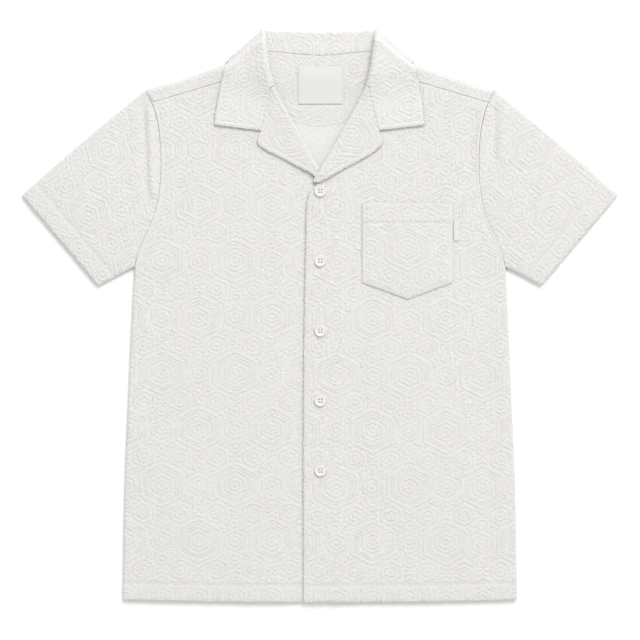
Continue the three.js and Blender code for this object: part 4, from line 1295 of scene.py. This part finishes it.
class AddFronts(bpy.types.Operator):
    """Adds the two fronts with hexagon relief, hems, placket and side folds"""

    bl_idname = "shirt.add_fronts"
    bl_label = "Fronts"
    bl_options = {"REGISTER", "UNDO"}

    def execute(self, context):
        for side, label, origin in ((1, "left", GRAIN_LEFT), (-1, "right", GRAIN_RIGHT)):
            sheet = front_sheet(side)
            x, y = sheet.plan
            share = sheet.share(("free", "seam"), ("free", "seam") if side > 0 else ("seam", "free"))
            free, outer = sheet.run(1, side < 0), sheet.run(1, side > 0)
            up, down = sheet.run(0), sheet.run(0, True)
            armhole = ease((y - ARMHOLE_SEAM_Y) / 6)
            left = (1 - sewn_over(outer, PRESSED) * armhole) * (1 - sewn_over(down, 3.4))
            left = left * (1 - welt(up, HEM_DEPTH, 3.2, 1.0))
            marks = hem(up, HEM_DEPTH) + trough(free, FREE_EDGE_ROW, 1.0, 0.35)
            marks = marks + armhole_seam(outer) * armhole + welt(down, 1.8, 1.4, 0.35)
            piece = cloth_piece(f"front_{label}", sheet, (*grain_at(x, y, origin), left), marks, share)
            upper = y[:, y.shape[1] // 2] > ARMHOLE_STITCH_Y
            lines = hem_stitches(sheet, HEM_DEPTH)
            lines.append(sheet.line(1, ARMHOLE_ROW, side > 0, CLOTH / 2 - 0.4, upper))
            rims = [sheet.rim(0)]
            if side > 0:
                edge, rim = sheet.line(1, FREE_EDGE_ROW, False, CLOTH / 2 - 0.25), sheet.rim(1)
                lines.append(part_of(edge, edge[0][:, 1] < EDGE_STITCH_Y))
                rims.append(part_of(rim, rim[0][:, 1] < EDGE_PILE_Y))
            sewn = stitches(f"front_{label}_stitching", lines)
            pile = edge_pile(f"front_{label}_pile", rims, 11 + side)
        return {"FINISHED"}


class AddSleeves(bpy.types.Operator):
    """Adds the two short sleeves, each a flat tube with a hemmed cuff"""

    bl_idname = "shirt.add_sleeves"
    bl_label = "Sleeves"
    bl_options = {"REGISTER", "UNDO"}

    def execute(self, context):
        for side, label in ((1, "left"), (-1, "right")):
            sheet = sleeve_sheet(side)
            from_cuff = sheet.run(0, True)
            marks = hem(from_cuff, CUFF_DEPTH) + trough(sheet.run(0), 2.2, 0.9, 0.35)
            u, v = grain_at(*sheet.plan, (side * 300, 130), side * SLEEVE_GRAIN)
            grain = (u, v, 1 - welt(from_cuff, CUFF_DEPTH, 3.2, 1.0))
            share = sheet.share(("seam", "free"), ("joined", "joined"))
            piece = cloth_piece(f"sleeve_{label}", sheet, grain, marks, share)
            sewn = stitches(f"sleeve_{label}_stitching", hem_stitches(sheet, CUFF_DEPTH, True))
            rim = tuple(np.concatenate([part, part[:1]]) for part in sheet.rim(0, True))
            pile = edge_pile(f"sleeve_{label}_pile", [rim], 31 + side)
        return {"FINISHED"}


class AddCollar(bpy.types.Operator):
    """Adds the collar: stand and leaf in one, folded over, with its notched points"""

    bl_idname = "shirt.add_collar"
    bl_label = "Collar"
    bl_options = {"REGISTER", "UNDO"}

    def execute(self, context):
        sheet = collar_sheet()
        x, y = sheet.plan
        from_edge = sheet.run(1, True)
        ends = np.minimum(sheet.run(0), sheet.run(0, True))
        leaf = (np.arange(x.shape[1]) > UNDER_PARTS + 2)[None, :]
        ends_sewn = trough(ends, LEAF_END_ROW, 0.9, 0.3) + welt(ends, 2.2, 2.0, 0.5)
        marks = leaf_edge(from_edge) + ends_sewn * leaf
        left = (1 - sewn_over(from_edge, PRESSED)) * (1 - sewn_over(ends, 5.2) * leaf)
        grain = (*grain_at(x, y, (68.4, 345)), left)
        share = sheet.share(("free", "free"), ("flush", "free"))
        piece = cloth_piece("collar", sheet, grain, marks, share, DOUBLED, "leaf")
        lines = [sheet.line(1, LEAF_ROW, True, DOUBLED / 2 - 0.3, slice(4, -4))]
        rims = [sheet.rim(1, True)]
        for last in (False, True):
            lines.append(sheet.line(0, LEAF_END_ROW, last, DOUBLED / 2 - 0.55, slice(UNDER_PARTS + 4, -4)))
            rims.append(part_of(sheet.rim(0, last), slice(UNDER_PARTS, None)))
        sewn = stitches("collar_stitching", lines)
        pile = edge_pile("collar_pile", rims, 41)
        return {"FINISHED"}


class AddLapels(bpy.types.Operator):
    """Adds the two lapels folded back over the fronts"""

    bl_idname = "shirt.add_lapels"
    bl_label = "Lapels"
    bl_options = {"REGISTER", "UNDO"}

    def execute(self, context):
        for side, label, area in ((1, "left", 0.0064), (-1, "right", 0.0055)):
            sheet = lapel_sheet(side)
            x, y = sheet.plan
            gorge_last = side > 0
            share = sheet.share(("free", "seam") if gorge_last else ("seam", "free"), ("seam", "free"))
            under = HINGE_PARTS + ROLL_PARTS
            leaf = (np.arange(x.shape[1]) > under + 2)[None, :]
            from_edge = sheet.run(1, True)
            marks = leaf_edge(from_edge) + trough(sheet.run(0, gorge_last), GORGE_ROW, 1.0, 0.35) * leaf
            u, v = grain_at(x, y, (side * 40, 232), side * np.radians(-32))
            grain = (u, v, 1 - sewn_over(from_edge, PRESSED))
            piece = cloth_piece(f"lapel_{label}", sheet, grain, marks, share, DOUBLED)
            sewn = stitches(f"lapel_{label}_stitching", [
                sheet.line(1, LEAF_ROW, True, DOUBLED / 2 - 0.3, slice(2, -2)),
                sheet.line(0, GORGE_ROW, gorge_last, DOUBLED / 2 - 0.5, slice(under + 4, -4)),
            ])
            pile = edge_pile(f"lapel_{label}_pile", [sheet.rim(1, True)], 51 + side)
        return {"FINISHED"}


class AddPocket(bpy.types.Operator):
    """Adds the patch pocket with its hem and pointed bottom"""

    bl_idname = "shirt.add_pocket"
    bl_label = "Pocket"
    bl_options = {"REGISTER", "UNDO"}

    def execute(self, context):
        sheet = pocket_sheet()
        x, y = sheet.plan
        from_top = sheet.run(0, True)
        border = np.minimum(np.minimum(sheet.run(1), sheet.run(1, True)), sheet.run(0))
        marks = 0.3 * ease((26 - from_top) / 2) + trough(from_top, POCKET_HEM_ROW, 1.4, 0.8)
        marks = marks + welt(border, 1.6, 1.4, 0.5) + trough(border, POCKET_ROW, 0.8, 0.5)
        marks = marks + pocket_creases(x, y)
        grain = (*grain_at(x, y, (113.6, 86)), 1 - sewn_over(border, 4.2))
        share = sheet.share(("free", "free"), ("free", "free"))
        piece = cloth_piece("pocket", sheet, grain, marks, share, POCKET["wall"])
        lines = []
        for axis, last in ((0, True), (0, False), (1, False), (1, True)):
            at = POCKET_HEM_ROW if axis == 0 and last else POCKET_ROW
            lines.append(sheet.line(axis, at, last, POCKET["wall"] / 2 - 0.5, slice(3, -3)))
        sewn = stitches("pocket_stitching", lines)
        rims = [sheet.rim(axis, last) for axis in (1, 0) for last in (False, True)]
        pile = edge_pile("pocket_pile", rims, 61, 0.75)
        return {"FINISHED"}


def label_piece(node, sheet, row=None):
    """A wall of tape, with a row of stitches pressed in all round at this distance from its border."""
    share = sheet.share(("free", "free"), ("free", "free"))
    over = LABEL_WALL / 2 * share
    if row:
        for axis in (0, 1):
            over = over + trough(np.minimum(sheet.run(axis), sheet.run(axis, True)), row, 0.8, 0.2)
    points, faces = sheet.wall(over, LABEL_WALL / 2 * share)
    return settle(write_mesh(f"shirt_{node}", points, faces, [materials()["label"]]), "woven_label", node)


class AddLabels(bpy.types.Operator):
    """Adds the bare neck label and the bare tab at the pocket"""

    bl_idname = "shirt.add_labels"
    bl_label = "Labels"
    bl_options = {"REGISTER", "UNDO"}

    def execute(self, context):
        half = LABEL["half"]
        sheet = patch_sheet(-half, half, LABEL["bottom"], LABEL["top"], back_mid, 32, 36)
        piece = label_piece("neck_label", sheet, LABEL_ROW)
        borders = [(axis, last) for axis in (0, 1) for last in (False, True)]
        lines = [sheet.line(axis, LABEL_ROW, last, 0.35, slice(3, -3)) for axis, last in borders]
        sewn = stitches("neck_label_stitching", lines)
        onto = lambda x, y: front_mid(1, x, y)
        sheet = patch_sheet(TAB["left"], TAB["right"], TAB["bottom"], TAB["top"], onto, 20, 8, 0.1)
        piece = label_piece("pocket_tab", sheet)
        return {"FINISHED"}


def add_button(number, y0, z0):
    """The face is a turned profile with a rounded rim and a dished middle, sunk by steep eased steps at the
    four holes, and the back is a shallow dome."""
    n = BUTTON_SPOKES
    angle = np.radians(np.arange(n) * 360 / n)
    back, back_z = np.transpose(BUTTON_BACK)
    radius = np.concatenate([BUTTON_RINGS, back])[:, None]
    face_z = np.interp(BUTTON_RINGS, *zip(*BUTTON_FACE))
    height = np.concatenate([face_z, back_z])[:, None] + 0 * angle[None, :]
    x, y = radius * np.cos(angle), radius * np.sin(angle)
    # hole sinks the face at each thread hole and is also the mask of the painted shade inside it.
    hole = ease((HOLE_RADIUS - np.hypot(np.abs(x) - HOLE_OFF, np.abs(y) - HOLE_OFF)) / 0.4)
    hole[len(BUTTON_RINGS):] = 0
    points = xyz(x + BUTTON_X, y + y0, height - hole * HOLE_DEPTH + z0).reshape(-1, 3)
    ids = np.arange(x.size).reshape(x.shape)
    quads = quads_of(ids, True)[1:-1].reshape(-1, 4)[:, ::-1]
    top = xyz(0, ids[1], np.roll(ids[1], -1))
    low = xyz(ids[-1, 0], np.roll(ids[-2], -1), ids[-2])
    finish = [materials()["button"]]
    piece = write_mesh(f"shirt_button_{number}", points, [quads, top, low], finish, fields={"hole": hole})
    settle(piece, "button", f"button_{number}")


def add_button_thread(number, y0, z0):
    """Two crossed strands of thread that dip into the holes: arcs of a round section over the middle."""
    t = np.linspace(0, np.pi, 13)
    sides = len(TUBE)
    points, faces = [], []
    for n, (dx, dy) in enumerate(((0.7071, 0.7071), (0.7071, -0.7071))):
        along = -HOLE_OFF * 1.36 * np.cos(t)
        rise = z0 + 0.95 + (1.35 + 0.12 * n) * np.sin(t) ** 0.4
        centre = np.stack([BUTTON_X + dx * along, y0 + dy * along, rise], axis=1)
        side = np.array([-dy, dx, 0.0])
        out = np.cross(unit(np.gradient(centre, axis=0)), side)
        section = side * np.cos(TUBE)[:, None] + out[:, None] * np.sin(TUBE)[None, :, None]
        points.append((centre[:, None] + 0.24 * section).reshape(-1, 3))
        ids = np.arange(len(t) * sides).reshape(len(t), sides) + n * len(t) * sides
        faces += [quads_of(ids, True).reshape(-1, 4), np.array([ids[0, ::-1], ids[-1]])]
    fields = {"hole": np.zeros(len(t) * sides * 2)}
    name = f"button_{number}_thread"
    settle(write_mesh(name, np.concatenate(points), faces, [materials()["button"]], fields=fields), "terry")


def add_buttonhole(number, y0):
    """A narrow ring of close stitching along x, which shows past the button's right edge."""
    spoke = np.arange(64)[:, None]
    angle = np.radians(spoke * 360 / 64)
    ribs = 0.45 + 0.08 * np.cos(spoke * np.pi)
    end = np.where(np.cos(angle) > 0, 10.0, -6.0)
    x = BUTTON_X + (end + 0.8 * np.cos(angle)) + ribs * np.cos(angle) * np.cos(TUBE)
    y = y0 + 0.8 * np.sin(angle) + ribs * np.sin(angle) * np.cos(TUBE)
    z = front_mid(1, x, y) + CLOTH / 2 - 0.2 + ribs * np.sin(TUBE)
    points = xyz(x, y, z).reshape(-1, 3)
    ids = np.arange(x.size).reshape(x.shape)
    quads = quads_of(np.concatenate([ids, ids[:1]]), True).reshape(-1, 4)[:, [0, 3, 2, 1]]
    piece = write_mesh(f"buttonhole_{number}", points, [quads], [materials()["thread"]])
    settle(piece, "terry")


class AddButtons(bpy.types.Operator):
    """Adds the five four-hole buttons with their thread, and the buttonholes they sit in"""

    bl_idname = "shirt.add_buttons"
    bl_label = "Buttons"
    bl_options = {"REGISTER", "UNDO"}

    def execute(self, context):
        for i in range(BUTTON_COUNT):
            y = BUTTON_TOP_Y - i * BUTTON_PITCH
            z = float(front_mid(1, np.array(BUTTON_X), np.array(y))) + CLOTH / 2 + 0.3
            add_button(i + 1, y, z)
            add_button_thread(i + 1, y, z)
            add_buttonhole(i + 1, y)
        return {"FINISHED"}


class ShirtPanel(bpy.types.Panel):
    """Settings and parts of the shirt"""

    bl_idname = "SHIRT_PT_parts"
    bl_label = "Terry Camp Shirt"
    bl_space_type = "VIEW_3D"
    bl_region_type = "UI"
    bl_category = "Shirt"

    def draw(self, context):
        for group in (cloth(), trim(), stage()):
            box = self.layout.box()
            for name in group.bl_rna.properties.keys():
                if name not in ("rna_type", "name"):
                    box.prop(group, name)
        for operator in PARTS:
            self.layout.operator(operator.bl_idname)


SETTINGS = (ClothSettings, TrimSettings, StageSettings)
PARTS = (
    AddStage, AddBack, AddYoke, AddFronts, AddSleeves,
    AddCollar, AddLapels, AddPocket, AddLabels, AddButtons,
)


def register():
    for each in SETTINGS + PARTS + (ShirtPanel,):
        bpy.utils.register_class(each)
    bpy.types.Scene.shirt_cloth = bpy.props.PointerProperty(type=ClothSettings)
    bpy.types.Scene.shirt_trim = bpy.props.PointerProperty(type=TrimSettings)
    bpy.types.Scene.shirt_stage = bpy.props.PointerProperty(type=StageSettings)


def unregister():
    del bpy.types.Scene.shirt_cloth
    del bpy.types.Scene.shirt_trim
    del bpy.types.Scene.shirt_stage
    for each in reversed(SETTINGS + PARTS + (ShirtPanel,)):
        bpy.utils.unregister_class(each)


def main():
    register()
    bpy.ops.shirt.add_stage()
    bpy.ops.shirt.add_back()
    bpy.ops.shirt.add_yoke()
    bpy.ops.shirt.add_fronts()
    bpy.ops.shirt.add_sleeves()
    bpy.ops.shirt.add_collar()
    bpy.ops.shirt.add_lapels()
    bpy.ops.shirt.add_pocket()
    bpy.ops.shirt.add_labels()
    bpy.ops.shirt.add_buttons()
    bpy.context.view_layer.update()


if __name__ == "__main__":
    main()
